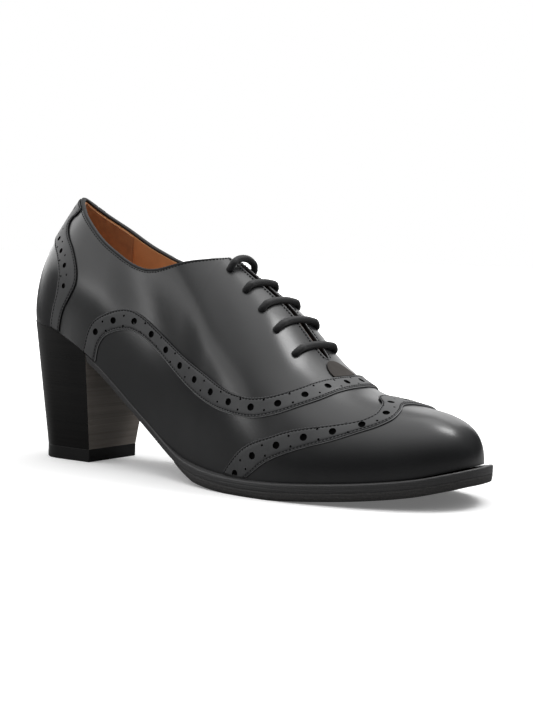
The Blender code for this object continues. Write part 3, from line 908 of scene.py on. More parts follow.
@dataclass(frozen=True)
class Last:
    """The form that the shoe is built on, read at a section t and a share v of the way to the ridge."""

    back_swell: float = 3.2
    swell_power: float = 0.7
    back_lean: float = 23.3
    back_height: float = 62.0
    back_reach: float = 70.0
    collar_pinch: float = 0.68
    pinch_reach: float = 58.0
    pinch_blend: float = 0.35
    facing_from: float = 5.0
    throat_end: float = 9.02
    throat_closing: float = 0.35
    outer_gap: float = 1.1
    inner_gap: float = 3.8
    step: float = 0.004

    def section(self, t: Array) -> Array:
        """The columns of the table of sections at t."""
        values = between(LAST_ROWS, t, LAST_ROWS[1] * HEEL_MIRROR, LAST_ROWS[-2] * TOE_MIRROR)
        return np.moveaxis(values, -1, 0)

    def point(self, t: Array, v: Array, side: Array) -> Array:
        """Point of the last.

        Args:
            t: section number.
            v: share from the feather line (0) to the ridge (1).
            side: -1 on the outer side, 1 on the inner.

        Returns:
            Places in design millimetres.
        """
        t, v, side = arrays(t, v, side)
        x, feather, outer, inner, height, ridge, side_power, top_power, swell = self.section(t)
        half = np.where(side < 0, outer, inner).clip(0)
        angle = np.clip(v, 0, 1) * math.pi / 2
        across = np.cos(angle).clip(0) ** side_power
        up = np.sin(angle) ** top_power
        bulge = swell * np.sin(math.pi * np.clip(2 * v, 0, 1)) ** 2
        lift = np.clip(height * up / self.back_height, 0, 1.3)
        swell_out = self.back_swell * np.sin(math.pi * np.clip(lift, 0, 1) ** self.swell_power)
        lean = self.back_lean * lift**2 - swell_out
        fade = np.clip(1 - x / self.back_reach, 0, 1) ** 1.5
        ahead = 1 - x / self.pinch_reach
        rounded = np.clip(ahead + self.pinch_blend, 0, None) ** 2 / (4 * self.pinch_blend)
        taper = np.where(ahead > self.pinch_blend, ahead, rounded)
        pinch = self.collar_pinch * np.clip(lift, 0, 1.1) * taper
        centre = ridge * (1 - across) * np.clip((outer + inner) / 20, 0, 1)
        y = centre + side * (half * across + bulge) * (1 - pinch)
        return np.stack([x + lean * fade, y, feather + height * up], -1)

    def normal(self, t: Array, v: Array, side: Array) -> Array:
        """Outward normal of the last.

        Args:
            t: section number.
            v: share from the feather line (0) to the ridge (1).
            side: -1 on the outer side, 1 on the inner.

        Returns:
            Vectors of length one.
        """
        t, v, side = arrays(t, v, side)
        low_t, high_t = np.clip(t - self.step, 0, LAST_END), np.clip(t + self.step, 0, LAST_END)
        low_v, high_v = np.clip(v - self.step, 0, 1), np.clip(v + self.step, 0, 1)
        along = self.point(high_t, v, side) - self.point(low_t, v, side)
        up = self.point(t, high_v, side) - self.point(t, low_v, side)
        return unit(np.cross(along, up) * -side[..., None])

    def facing_normal(self, t: Array, v: Array, side: Array) -> Array:
        """Outward normal, with both sides agreeing at the ridge and at the back seam.

        Args:
            t: section number.
            v: share from the feather line (0) to the ridge (1).
            side: -1 on the outer side, 1 on the inner.

        Returns:
            Vectors of length one.
        """
        t, v, side = arrays(t, v, side)
        normal = self.normal(t, v, side)
        normal[..., 1] = np.where(t < 1e-6, 0.0, normal[..., 1])
        near = np.minimum(v, 0.995)
        middle = unit(self.normal(t, near, np.ones_like(t)) + self.normal(t, near, -np.ones_like(t)))
        return unit(np.where((v > 1 - 1e-6)[..., None], middle, normal))

    def share_at_height(self, t: Array, z: Array) -> Array:
        """How far up the section (0 to 1) a height lies.

        Args:
            t: section number.
            z: height in millimetres.

        Returns:
            Shares of the section.
        """
        _, feather, _, _, height, _, _, top_power, _ = self.section(t)
        up = np.clip((z - feather) / np.maximum(height, 1e-6), 0, 1)
        return np.arcsin(up ** (1 / top_power)) * 2 / math.pi

    def share_off_ridge(self, t: Array, side: Array, distance: Array) -> Array:
        """Share at a distance across from the ridge, in millimetres.

        Args:
            t: section number.
            side: -1 on the outer side, 1 on the inner.
            distance: distance from the ridge.

        Returns:
            Shares of the section.
        """
        _, _, outer, inner, _, _, side_power, _, _ = self.section(t)
        half = np.where(np.asarray(side) < 0, outer, inner)
        return np.arccos(np.clip(distance / half.clip(1), 0, 1) ** (1 / side_power)) * 2 / math.pi

    def topline_share(self, t: Array, side: Array) -> Array:
        """Share of the section at the collar."""
        heights = between(TOPLINE, t, TOPLINE[1], 2 * TOPLINE[-1] - TOPLINE[-2])
        return self.share_at_height(t, np.where(np.asarray(side) < 0, heights[..., 0], heights[..., 1]))

    def upper_edge(self, t: Array, side: Array) -> Array:
        """Share of the section where the upper ends: collar, facing or closed ridge.

        Args:
            t: section number.
            side: -1 on the outer side, 1 on the inner.

        Returns:
            Shares of the section.
        """
        t = np.asarray(t, float)
        last_row = len(TOPLINE) - 1
        collar = np.where(t < last_row, self.topline_share(np.minimum(t, last_row), side), 1.0)
        slot = (t > self.facing_from) & (t < self.throat_end)
        return np.minimum(collar, np.where(slot, self.facing_share(t, side), 1.0))

    def facing_share(self, t: Array, side: Array, inset: float = 0.0) -> Array:
        """Share of the section at the edge of a facing, or inset from it in millimetres.

        Args:
            t: section number.
            side: -1 on the outer side, 1 on the inner.
            inset: distance from the edge.

        Returns:
            Shares of the section.
        """
        opening = np.clip((self.throat_end - t) / self.throat_closing, 0, 1)
        widest = np.where(np.asarray(side) < 0, self.outer_gap, self.inner_gap)
        return self.share_off_ridge(t, side, widest * np.sqrt(opening * (2 - opening)) + inset)

    def facing_top(self, side: Side) -> float:
        """Section number where the collar meets the facing.

        Args:
            side: side of the shoe.

        Returns:
            The section number.
        """
        t = np.linspace(self.facing_from, len(TOPLINE) - 1, 800)
        above = self.topline_share(t, side.value) >= self.facing_share(t, side.value)
        return float(t[np.argmax(above)])

    def outline(self, t: Array, side: float, margin: Array) -> Array:
        """Edge of the bottom in plan, a margin outside the feather line, at the feather line's height.

        Args:
            t: section number.
            side: -1 on the outer side, 1 on the inner.
            margin: distance outside the feather line.

        Returns:
            Places in design millimetres.
        """
        t = np.asarray(t, float)
        here = self.point(t, 0.0, side)
        ahead = self.point(np.clip(t + self.step, 0, LAST_END), 0.0, side)
        behind = self.point(np.clip(t - self.step, 0, LAST_END), 0.0, side)
        along = ahead - behind
        normal = np.stack([along[..., 1], -along[..., 0]], -1) * -side
        normal[t < 1e-6] = (-1.0, 0.0)
        normal[t > LAST_END - 1e-6] = (1.0, 0.0)
        here[..., :2] += unit(normal) * np.asarray(margin, float)[..., None]
        return here

    def section_at(self, x: Array) -> Array:
        """Section number at a station."""
        numbers = np.linspace(0, LAST_END, 1501)
        return np.interp(x, self.section(numbers)[0], numbers)

    def even_sections(self, low: float, high: float, spacing: float) -> Array:
        """Section numbers about evenly spaced along the outline of the bottom.

        Args:
            low: first section number.
            high: last section number.
            spacing: distance between neighbours in millimetres.

        Returns:
            The section numbers, both ends among them.
        """
        numbers = np.linspace(low, high, 900)
        along = running_length(self.point(numbers, 0.0, Side.OUTER.value))
        count = max(3, int(along[-1] / spacing) + 1)
        return np.interp(np.linspace(0, along[-1], count), along, numbers)


@dataclass(frozen=True)
class Fold:
    """Soft ridge or trough of the leather along a line between two places of one side."""

    side: Side
    start: tuple[float, float]
    end: tuple[float, float]
    width: float
    height: float


def on_both_sides(*shape: Any) -> tuple[Fold, ...]:
    """The same fold on either side."""
    return tuple(Fold(side, *shape) for side in Side)


# Folds of the upper: ridges have a height above zero, troughs below
FOLDS = (
    *on_both_sides((0.80, 0.21), (4.80, 0.21), 10.0, 0.7),
    Fold(Side.OUTER, (5.30, 0.66), (7.55, 0.36), 7.0, 0.8),
    Fold(Side.OUTER, (3.90, 0.50), (5.70, 0.28), 12.0, -1.5),
    Fold(Side.OUTER, (6.30, 0.72), (8.50, 0.46), 10.0, -0.8),
    Fold(Side.INNER, (5.30, 0.66), (7.40, 0.38), 7.0, 0.7),
    Fold(Side.INNER, (4.70, 0.64), (6.60, 0.38), 7.0, -0.6),
    *on_both_sides((8.60, 0.36), (9.60, 0.20), 6.0, -0.35),
    *on_both_sides((9.75, 0.55), (9.95, 0.90), 4.0, -0.25),
)


@dataclass
class Skin:
    """Outer face of the upper: the last with the soft folds of the leather."""

    last: Last
    folds: Sequence[Fold] = FOLDS
    samples: int = 60

    def rise(self, places: Array, side: Array) -> Array:
        """Height of the folds at places of the last, in millimetres.

        Args:
            places: places in design millimetres.
            side: -1 on the outer side, 1 on the inner.

        Returns:
            Heights in millimetres.
        """
        total = np.zeros(places.shape[:-1])
        for fold in self.folds:
            line = np.linspace(fold.start, fold.end, self.samples)
            path = self.last.point(line[:, 0], line[:, 1], fold.side.value)
            apart = np.linalg.norm(places[..., None, :] - path, axis=-1)
            fade = np.sin(np.linspace(0.12, 0.88, self.samples) * math.pi)
            swell = (np.exp(-((apart / fold.width) ** 2)) * fade).max(-1)
            total += np.where(side == fold.side.value, fold.height * swell, 0.0)
        return total

    def at(self, t: Array, v: Array, side: Array, lift: Array) -> Array:
        """Point at a distance outside the leather's face.

        Args:
            t: section number.
            v: share from the feather line to the ridge.
            side: -1 on the outer side, 1 on the inner.
            lift: distance in millimetres, below zero inside.

        Returns:
            Places in design millimetres.
        """
        t, v, side = arrays(t, v, side)
        places = self.last.point(t, v, side)
        reach = self.rise(places, side) + np.asarray(lift, float)
        return places + reach[..., None] * self.last.facing_normal(t, v, side)


# Sub-assemblies


@dataclass
class Upper:
    """Vamp, quarters and toe, with lining, heel grip and bound edges."""

    skin: Skin
    finishes: Wardrobe
    wall: float = 1.8
    lining: float = 0.5
    grip: float = 0.6
    grip_end: float = 3.3
    facing_bead: float = 0.42
    facing_seam: float = 1.25
    spacing: float = 1.15
    columns: int = 52
    hole_depth: float = 8.0
    lining_end: float = 14.2
    lining_spacing: float = 2.4
    lining_columns: int = 26
    lining_gap: float = 0.04
    lining_inset: float = 0.008
    grip_spacing: float = 1.6
    grip_columns: int = 30
    grip_gap: float = 0.06
    grip_inset: float = 0.010
    rim_spacing: float = 0.6
    rim_seam: float = 0.0135
    binding_reach: float = 0.02
    binding_passes: int = 8
    facing_spacing: float = 0.5
    facing_sink: float = 0.12
    facing_passes: int = 3
    facing_sides: int = 10
    seam_from: float = 0.06
    seam_end: float = 8.94
    seam_lift: float = 0.02

    def surface(self, rows: Array, columns: int, lift: float,
                inset: float = 0.0) -> tuple[Array, list[tuple]]:
        """Grid over both sides, open at the collar and throat.

        Args:
            rows: section numbers.
            columns: points on each side.
            lift: distance outside the leather's face.
            inset: how far the grid stops short of the edge, as a share of the section.

        Returns:
            Points and faces.
        """
        steps = np.linspace(0.0, 1.0, columns)
        t = np.repeat(rows[:, None], columns, 1)
        sheets = []
        for side, order in ((Side.OUTER, steps), (Side.INNER, steps[::-1])):
            edge = self.skin.last.upper_edge(rows, side.value) - inset
            edge[rows >= self.skin.last.throat_end - 1e-9] = 1.0
            sheets.append(self.skin.at(t, edge[:, None] * order, side.value, lift))
        points = np.concatenate(sheets, 1).reshape(-1, 3)
        return points, grid_faces(len(rows), 2 * columns, skip=(columns - 1,))

    def rows(self, end: float, spacing: float) -> Array:
        """Section numbers from the heel to an end, with one at the foot of the throat.

        Args:
            end: last section number.
            spacing: distance between rows.

        Returns:
            The section numbers.
        """
        throat = self.skin.last.throat_end
        back = self.skin.last.even_sections(0.0, throat, spacing)
        return np.concatenate([back, self.skin.last.even_sections(throat, end, spacing)[1:]])

    def build_leather(self, holes: bpy.types.Object, tree: bpy.types.NodeTree) -> bpy.types.Object:
        """Outer leather with its wall, punched for the lace.

        Args:
            holes: guide points of the lace holes.
            tree: tree that punches the holes.

        Returns:
            The finished piece.
        """
        points, faces = self.surface(self.rows(LAST_END, self.spacing), self.columns, 0.0)
        piece = mesh_object("upper_leather", points, faces, self.finishes.upper)
        thicken(piece, self.wall, outward=False)
        grow(piece, tree, {"Holes": holes, "Depth": self.hole_depth * MM, "Face": self.finishes.upper,
                           "Cut Edge": self.finishes.cut, "Folded": False}, sharp_deg=50.0)
        return fit(piece, "black_leather", "upper")

    def build_lining(self) -> bpy.types.Object:
        """Smooth tan lining inside the wall.

        Returns:
            The finished piece.
        """
        rows = self.rows(self.lining_end, self.lining_spacing)
        depth = self.wall + self.lining_gap
        points, faces = self.surface(rows, self.lining_columns, -depth, self.lining_inset)
        piece = mesh_object("quarter_lining", points, faces, self.finishes.lining)
        thicken(piece, self.lining, outward=False)
        return fit(plain_mesh(piece), "tan_lining")

    def build_grip(self) -> bpy.types.Object:
        """Suede heel grip round the back of the lining.

        Returns:
            The finished piece.
        """
        rows = self.skin.last.even_sections(0.0, self.grip_end, self.grip_spacing)
        depth = self.wall + self.lining + self.grip_gap
        points, faces = self.surface(rows, self.grip_columns, -depth, self.grip_inset)
        piece = mesh_object("heel_grip", points, faces, self.finishes.grip)
        thicken(piece, self.grip, outward=False)
        return fit(plain_mesh(piece), "tan_lining")

    def rim(self, side: Side, below: float) -> tuple[Array, Array]:
        """Line along the collar, from the back to the facing.

        Args:
            side: side of the shoe.
            below: share of the section below the edge.

        Returns:
            Points on the leather's face and outward normals.
        """
        t = self.skin.last.even_sections(0.0, self.skin.last.facing_top(side), self.rim_spacing)
        v = self.skin.last.upper_edge(t, side.value) - below
        return self.skin.at(t, v, side.value, 0.0), self.skin.last.facing_normal(t, v, side.value)

    def build_binding(self) -> bpy.types.Object:
        """Binding folded over the collar's edge, with a lip on either face.

        Returns:
            The finished piece.
        """
        lines = []
        for below in (0.0, self.binding_reach):
            outer, outer_normal = self.rim(Side.OUTER, below)
            inner, inner_normal = self.rim(Side.INNER, below)
            lines.append(np.concatenate([outer[::-1], inner[1:]]))
            normal = np.concatenate([outer_normal[::-1], inner_normal[1:]])
        path, down = lines[0], unit(lines[1] - lines[0])
        for line in (path, down, normal):
            relax(line, self.binding_passes)
        down, normal = unit(down), unit(normal)
        rings = np.stack([path + normal * out + down * below for out, below in BINDING_SECTION], 1)
        faces = ring_faces(len(path), len(BINDING_SECTION))
        piece = mesh_object("collar_binding", rings.reshape(-1, 3), faces, self.finishes.binding,
                            outward=True)
        return fit(piece, "black_leather")

    def build_facing_edge(self) -> bpy.types.Object:
        """Fine rolled edge down both facings and round the foot of the throat.

        Returns:
            The finished piece.
        """
        last = self.skin.last
        sides = []
        for side in Side:
            t = last.even_sections(last.facing_top(side), last.throat_end, self.facing_spacing)
            sides.append(self.skin.at(t, last.upper_edge(t, side.value), side.value, -self.facing_sink))
        path = np.concatenate([sides[0], sides[1][::-1][1:]])
        relax(path, self.facing_passes)
        piece = tube("facing_edge", path, self.facing_bead, self.facing_sides, self.finishes.edge)
        return fit(piece, "black_leather")

    def edge_lines(self) -> list[tuple[Array, Array]]:
        """Lines of stitching under the binding and beside the edge of each facing.

        Returns:
            Points and normals of each line.
        """
        last = self.skin.last
        lines = [self.rim(side, self.rim_seam) for side in Side]
        for side in Side:
            start = last.facing_top(side) + self.seam_from
            t = last.even_sections(start, self.seam_end, self.facing_spacing)
            v = last.facing_share(t, side.value, self.facing_seam)
            places = self.skin.at(t, v, side.value, self.seam_lift)
            lines.append((places, last.facing_normal(t, v, side.value)))
        return lines

    def build_patch(self, top: float = 9.05, foot: float = 9.505, bow: float = 0.05, half: float = 8.3,
                    thickness: float = 1.0, thinning: float = 0.45, rows: int = 26,
                    columns: int = 33) -> bpy.types.Object:
        """Half-moon patch at the foot of the throat, round above, with its base along the vamp band.

        Args:
            top: section number of its top.
            foot: section number of its base.
            bow: how far the base curves.
            half: half its width.
            thickness: thickness of the leather.
            thinning: how much thinner its edge is.
            rows: points along the piece.
            columns: points across it.

        Returns:
            The finished piece.
        """
        part = np.linspace(0.992, 0.0, rows)[:, None]
        w = np.linspace(-1.0, 1.0, columns)[None, :]
        base = foot - bow * w**2
        t = base - (base - top) * part
        side = sign_of(np.broadcast_to(w, t.shape))
        v = self.skin.last.share_off_ridge(t, side, half * np.sqrt(1 - part**2) * np.abs(w))
        edge = np.maximum(np.abs(w), part) ** 8
        points = self.skin.at(t, v, side, thickness - thinning * edge)
        piece = mesh_object("throat_patch_leather", points.reshape(-1, 3), grid_faces(rows, columns),
                            self.finishes.patch)
        thicken(piece, thickness, outward=False)
        return fit(plain_mesh(piece, sharp_deg=60.0), "patch_leather", "throat_patch")

    def build_tongue(self, top: float = 6.42, foot: float = 9.30, edge: float = 0.74, gap: float = 0.8,
                     dip: float = 2.4, thickness: float = 1.6, rows: int = 70,
                     columns: int = 41) -> bpy.types.Object:
        """Tongue under the facings, pressed down where the lace runs behind them.

        Args:
            top: section number of its top.
            foot: section number of its foot.
            edge: share of the section at its edges.
            gap: distance under the wall.
            dip: how far the lace presses it down.
            thickness: thickness of the leather.
            rows: points along the piece.
            columns: points across it.

        Returns:
            The finished piece.
        """
        w = np.linspace(-1.0, 1.0, columns)[None, :]
        t = np.broadcast_to(np.linspace(top, foot, rows)[:, None], (rows, columns))
        side = sign_of(np.broadcast_to(w, t.shape))
        v = 1 - (1 - edge) * np.abs(w) * np.ones_like(t)
        press = dip * np.sin(np.clip((np.abs(w) - 0.15) / 0.85, 0, 1) * math.pi) * np.ones_like(t)
        points = self.skin.at(t, v, side, -(self.wall + gap) - press)
        piece = mesh_object("tongue_leather", points.reshape(-1, 3), grid_faces(rows, columns),
                            self.finishes.tongue)
        thicken(piece, thickness, outward=False)
        return fit(plain_mesh(piece, sharp_deg=60.0), "tongue_leather", "tongue")


def tube(name: str, path: Array, radius: float, sides: int, finish: bpy.types.Material) -> bpy.types.Object:
    """Round closed tube along a line of points.

    Args:
        name: name of the piece.
        path: centre line in design millimetres.
        radius: radius in millimetres.
        sides: points around.
        finish: material.

    Returns:
        The new object.
    """
    along = unit(np.gradient(path, axis=0))
    first = unit(np.cross(along, (0.0, 0.0, 1.0)))
    second = np.cross(along, first)
    angle = np.linspace(0, math.tau, sides, endpoint=False)[None, :, None]
    rings = path[:, None] + radius * (np.cos(angle) * first[:, None] + np.sin(angle) * second[:, None])
    return mesh_object(name, rings.reshape(-1, 3), ring_faces(len(path), sides), finish, outward=True)


@dataclass
class BroguedBand:
    """Punched band with pinked edges, sewn on along both of them."""

    name: str
    node: str
    edges: Array
    skin: Skin
    finishes: Wardrobe
    pitch: float = 12.0
    off_ridge: float = 6.0
    spots: Optional[Array] = None
    closes_at_back: bool = False
    punch: Hole = Hole.LARGE
    pair_reach: float = 2.3
    hole_depth: float = 0.85
    folded: bool = True
    rim: float = 0.30
    thickness: float = 0.95
    tooth: float = 1.3
    tooth_depth: float = 0.42
    seam_inset: float = 1.0
    groove: float = 0.24
    rows_per_tooth: int = 4
    margin_steps: tuple[float, ...] = (0.0, 0.16, 0.42, 0.72, 1.0, 1.28, 1.7)
    inner_steps: int = 6
    samples: int = 700
    margin_share: float = 0.42
    edge_ease: float = 0.35
    ease_reach: float = 0.5
    groove_width: float = 0.26
    seam_spacing: float = 0.5
    thread_lift: float = 0.04
    rim_spacing: float = 0.4
    rim_level: float = 0.35
    rim_sides: int = 8
    bedding: float = 0.1
    back_limit: float = 0.05
    tooth_shares: tuple[float, float] = (0.9, 0.6)

    def read(self, number: Array) -> Array:
        """The table of edges at row numbers.

        Args:
            number: row numbers, whole or not.

        Returns:
            Rows of the table.
        """
        after = 2 * self.edges[-1] - self.edges[-2]
        if not self.closes_at_back:
            after[0::2] = self.edges[-2][0::2]
            after[1::2] = 2 - self.edges[-2][1::2]
        return between(self.edges, number, 2 * self.edges[0] - self.edges[1], after)

    def place(self, values: Array, w: Array, side: Side, lift: Array) -> tuple[Array, Array]:
        """Points across the band and their normals.

        Args:
            values: rows of the table of edges.
            w: share of the way from one edge to the other.
            side: side of the shoe.
            lift: distance outside the leather's face.

        Returns:
            Places in design millimetres and outward normals.
        """
        t = np.clip(values[..., 0] * (1 - w) + values[..., 2] * w, 0, LAST_END)
        v = np.clip(values[..., 1] * (1 - w) + values[..., 3] * w, 0, 1)
        if self.closes_at_back:
            v = np.minimum(v, self.skin.last.topline_share(t, side.value) - COUNTER_TOP_INSET)
        return self.skin.at(t, v, side.value, lift), self.skin.last.facing_normal(t, v, side.value)

    def even_rows(self, side: Side, spacing: float) -> tuple[Array, Array, Array]:
        """Rows evenly spaced along the band.

        Args:
            side: side of the shoe.
            spacing: wanted distance between rows.

        Returns:
            Table values, running length and width of the band at each row.
        """
        numbers = np.linspace(0, len(self.edges) - 1, self.samples)
        values = self.read(numbers)
        first, _ = self.place(values, np.zeros(len(values)), side, self.thickness)
        along = running_length(first)
        teeth = max(2, round(along[-1] / spacing / self.rows_per_tooth))
        even = np.linspace(0, along[-1], teeth * self.rows_per_tooth + 1)
        values = self.read(np.interp(even, along, numbers))
        one, _ = self.place(values, np.zeros(len(values)), side, self.thickness)
        other, _ = self.place(values, np.ones(len(values)), side, self.thickness)
        return values, even, np.linalg.norm(other - one, axis=-1)

    def at_back(self, values: Array) -> Array:
        """Which rows end at the seam behind the heel."""
        return self.closes_at_back & (values[:, 2] < self.back_limit)

    def squeeze(self, width: Array) -> Array:
        """How much the margins shrink where the band is narrow."""
        return np.minimum(1.0, self.margin_share * width / self.margin_steps[-1])

    def spread(self, width: Array) -> Array:
        """Shares of the points across each row, close together along the edges.

        Args:
            width: width of the band at each row.

        Returns:
            Shares across the band.
        """
        near = np.asarray(self.margin_steps) * (self.squeeze(width) / width)[:, None]
        step = np.linspace(0, 1, self.inner_steps + 2)[1:-1]
        inner = near[:, -1:] * (1 - step) + (1 - near[:, -1:]) * step
        return np.concatenate([near, inner, 1 - near[:, ::-1]], 1)

    def surface(self, side: Side) -> Array:
        """Rows of points over the band's face, with pinked edges and a groove for the seam.

        Args:
            side: side of the shoe.

        Returns:
            Places in design millimetres.
        """
        values, even, width = self.even_rows(side, self.tooth / self.rows_per_tooth)
        phase = np.arange(len(even)) % self.rows_per_tooth / self.rows_per_tooth
        tooth = self.tooth_depth * (1 - np.abs(2 * phase - 1)) * self.squeeze(width) / width
        at_back = self.at_back(values)
        w = self.spread(width)
        for column, share in enumerate(self.tooth_shares):
            w[:, column] += tooth * share
            w[:, -1 - column] -= np.where(at_back, 0.0, tooth * share)
        apart = np.minimum(w, np.where(at_back[:, None], 1.0, 1 - w)) * width[:, None]
        ease = self.edge_ease * (1 - np.clip(apart / self.ease_reach, 0, 1)) ** 2
        ease += self.groove * np.exp(-(((apart - self.seam_inset) / self.groove_width) ** 2))
        points, _ = self.place(values[:, None, :], w, side, self.thickness - ease)
        return points

    def hole_line(self, side: Side) -> tuple[Array, Array]:
        """Places and normals of the large holes of one side, from its foot upwards.

        Args:
            side: side of the shoe.

        Returns:
            Places in design millimetres and outward normals.
        """
        if self.spots is not None:
            t, v = self.spots.T
            places = self.skin.at(t, v, side.value, self.thickness)
            return places, self.skin.last.facing_normal(t, v, side.value)
        numbers = np.linspace(0, len(self.edges) - 1, self.samples)
        line, _ = self.place(self.read(numbers), np.full(len(numbers), 0.5), side, self.thickness)
        along = running_length(line)
        centres = np.arange(along[-1] - self.off_ridge, 0.5, -self.pitch)[::-1]
        rows = np.interp(centres, along, numbers)
        return self.place(self.read(rows), np.full(len(rows), 0.5), side, self.thickness)

    def holes(self) -> tuple[Array, Array, Array]:
        """Places, normals and radii of all the holes, large ones with a small pair between neighbours.

        Returns:
            Places, outward normals and radii in millimetres.
        """
        outer, inner = self.hole_line(Side.OUTER), self.hole_line(Side.INNER)
        runs = [outer, inner]
        if not self.closes_at_back:
            runs = [tuple(np.concatenate([a, b[::-1]]) for a, b in zip(outer, inner))]
        places, normals, radii = [], [], []
        for centres, facing in runs:
            between_them = (centres[1:] + centres[:-1]) / 2
            middle = unit(facing[1:] + facing[:-1])
            across = unit(np.cross(middle, centres[1:] - centres[:-1])) * self.pair_reach
            places += [centres, between_them + across, between_them - across]
            normals += [facing, middle, middle]
            radii += [np.full(len(centres), self.punch.value), np.full(2 * len(middle), Hole.SMALL.value)]
        return np.concatenate(places), np.concatenate(normals), np.concatenate(radii)

    def stitch_lines(self, side: Side) -> list[tuple[Array, Array]]:
        """Lines of stitching in the groove along each edge.

        Args:
            side: side of the shoe.

        Returns:
            Points and normals of each line.
        """
        values, _, width = self.even_rows(side, self.seam_spacing)
        inset = np.minimum(self.seam_inset / width, 0.3)
        lift = self.thickness - self.groove + self.thread_lift
        away = ~self.at_back(values)
        points, normals = self.place(values, 1 - inset, side, lift)
        return [self.place(values, inset, side, lift), (points[away], normals[away])]

    def build_rims(self) -> None:
        """Pale rim along the lower side of the band: its pale colour is a painted highlight, the light line
        that the cut edge catches.
        """
        for side in Side:
            values, _, _ = self.even_rows(side, self.rim_spacing)
            values = values[~self.at_back(values)]
            path, _ = self.place(values, np.ones(len(values)), side, self.rim_level * self.thickness)
            name = f"{self.node}_rim_{side.name.lower()}"
            fit(tube(name, path, self.rim, self.rim_sides, self.finishes.rim), "black_leather")

    def build(self, tree: bpy.types.NodeTree) -> bpy.types.Object:
        """Band with its holes.

        Args:
            tree: tree that punches the holes.

        Returns:
            The finished piece.
        """
        outer, inner = self.surface(Side.OUTER), self.surface(Side.INNER)
        columns = outer.shape[1]
        if self.closes_at_back:
            points = np.concatenate([outer.reshape(-1, 3), inner.reshape(-1, 3)])
            count = len(outer) * columns
            faces = grid_faces(len(outer), columns)
            faces += [tuple(i + count for i in reversed(f)) for f in grid_faces(len(inner), columns)]
        else:
            rows = np.concatenate([outer, inner[::-1][1:]])
            points = rows.reshape(-1, 3)
            faces = [tuple(reversed(f)) for f in grid_faces(len(rows), columns)]
        piece = mesh_object(self.name, points, faces, self.finishes.band)
        thicken(piece, self.thickness + self.bedding, outward=False)
        places, normals, radii = self.holes()
        holes = guide_mesh(self.name + "_holes", places, [], {
            "surface_normal": normals, "hole_radius": radii * MM})
        grow(piece, tree, {"Holes": holes, "Depth": 2.0 * self.hole_depth * MM, "Face": self.finishes.band,
                           "Cut Edge": self.finishes.cut, "Folded": self.folded}, sharp_deg=35.0)
        bpy.data.objects.remove(holes)
        return fit(piece, "black_leather", self.node)


@dataclass
class Stitching:
    """Rows of thread on the upper."""

    finishes: Wardrobe
    pitch: float = 1.6
    half_length: float = 0.60
    radius: float = 0.33

    def sew(self, name: str, lines: Sequence[tuple[Array, Array]],
            tree: bpy.types.NodeTree) -> bpy.types.Object:
        """Sew along lines.

        Args:
            name: name of the piece.
            lines: points and normals of each line.
            tree: tree that lays the stitches.

        Returns:
            The finished piece.
        """
        points = np.concatenate([line[0] for line in lines])
        normals = np.concatenate([line[1] for line in lines])
        edges, start = [], 0
        for places, _ in lines:
            edges += [(start + i, start + i + 1) for i in range(len(places) - 1)]
            start += len(places)
        piece = guide_mesh(name, points, edges, {"surface_normal": normals})
        grow(piece, tree, {"Pitch": self.pitch * MM, "Half Length": self.half_length * MM,
                           "Radius": self.radius * MM, "Thread": self.finishes.thread})
        return fit(piece, "waxed_cord")


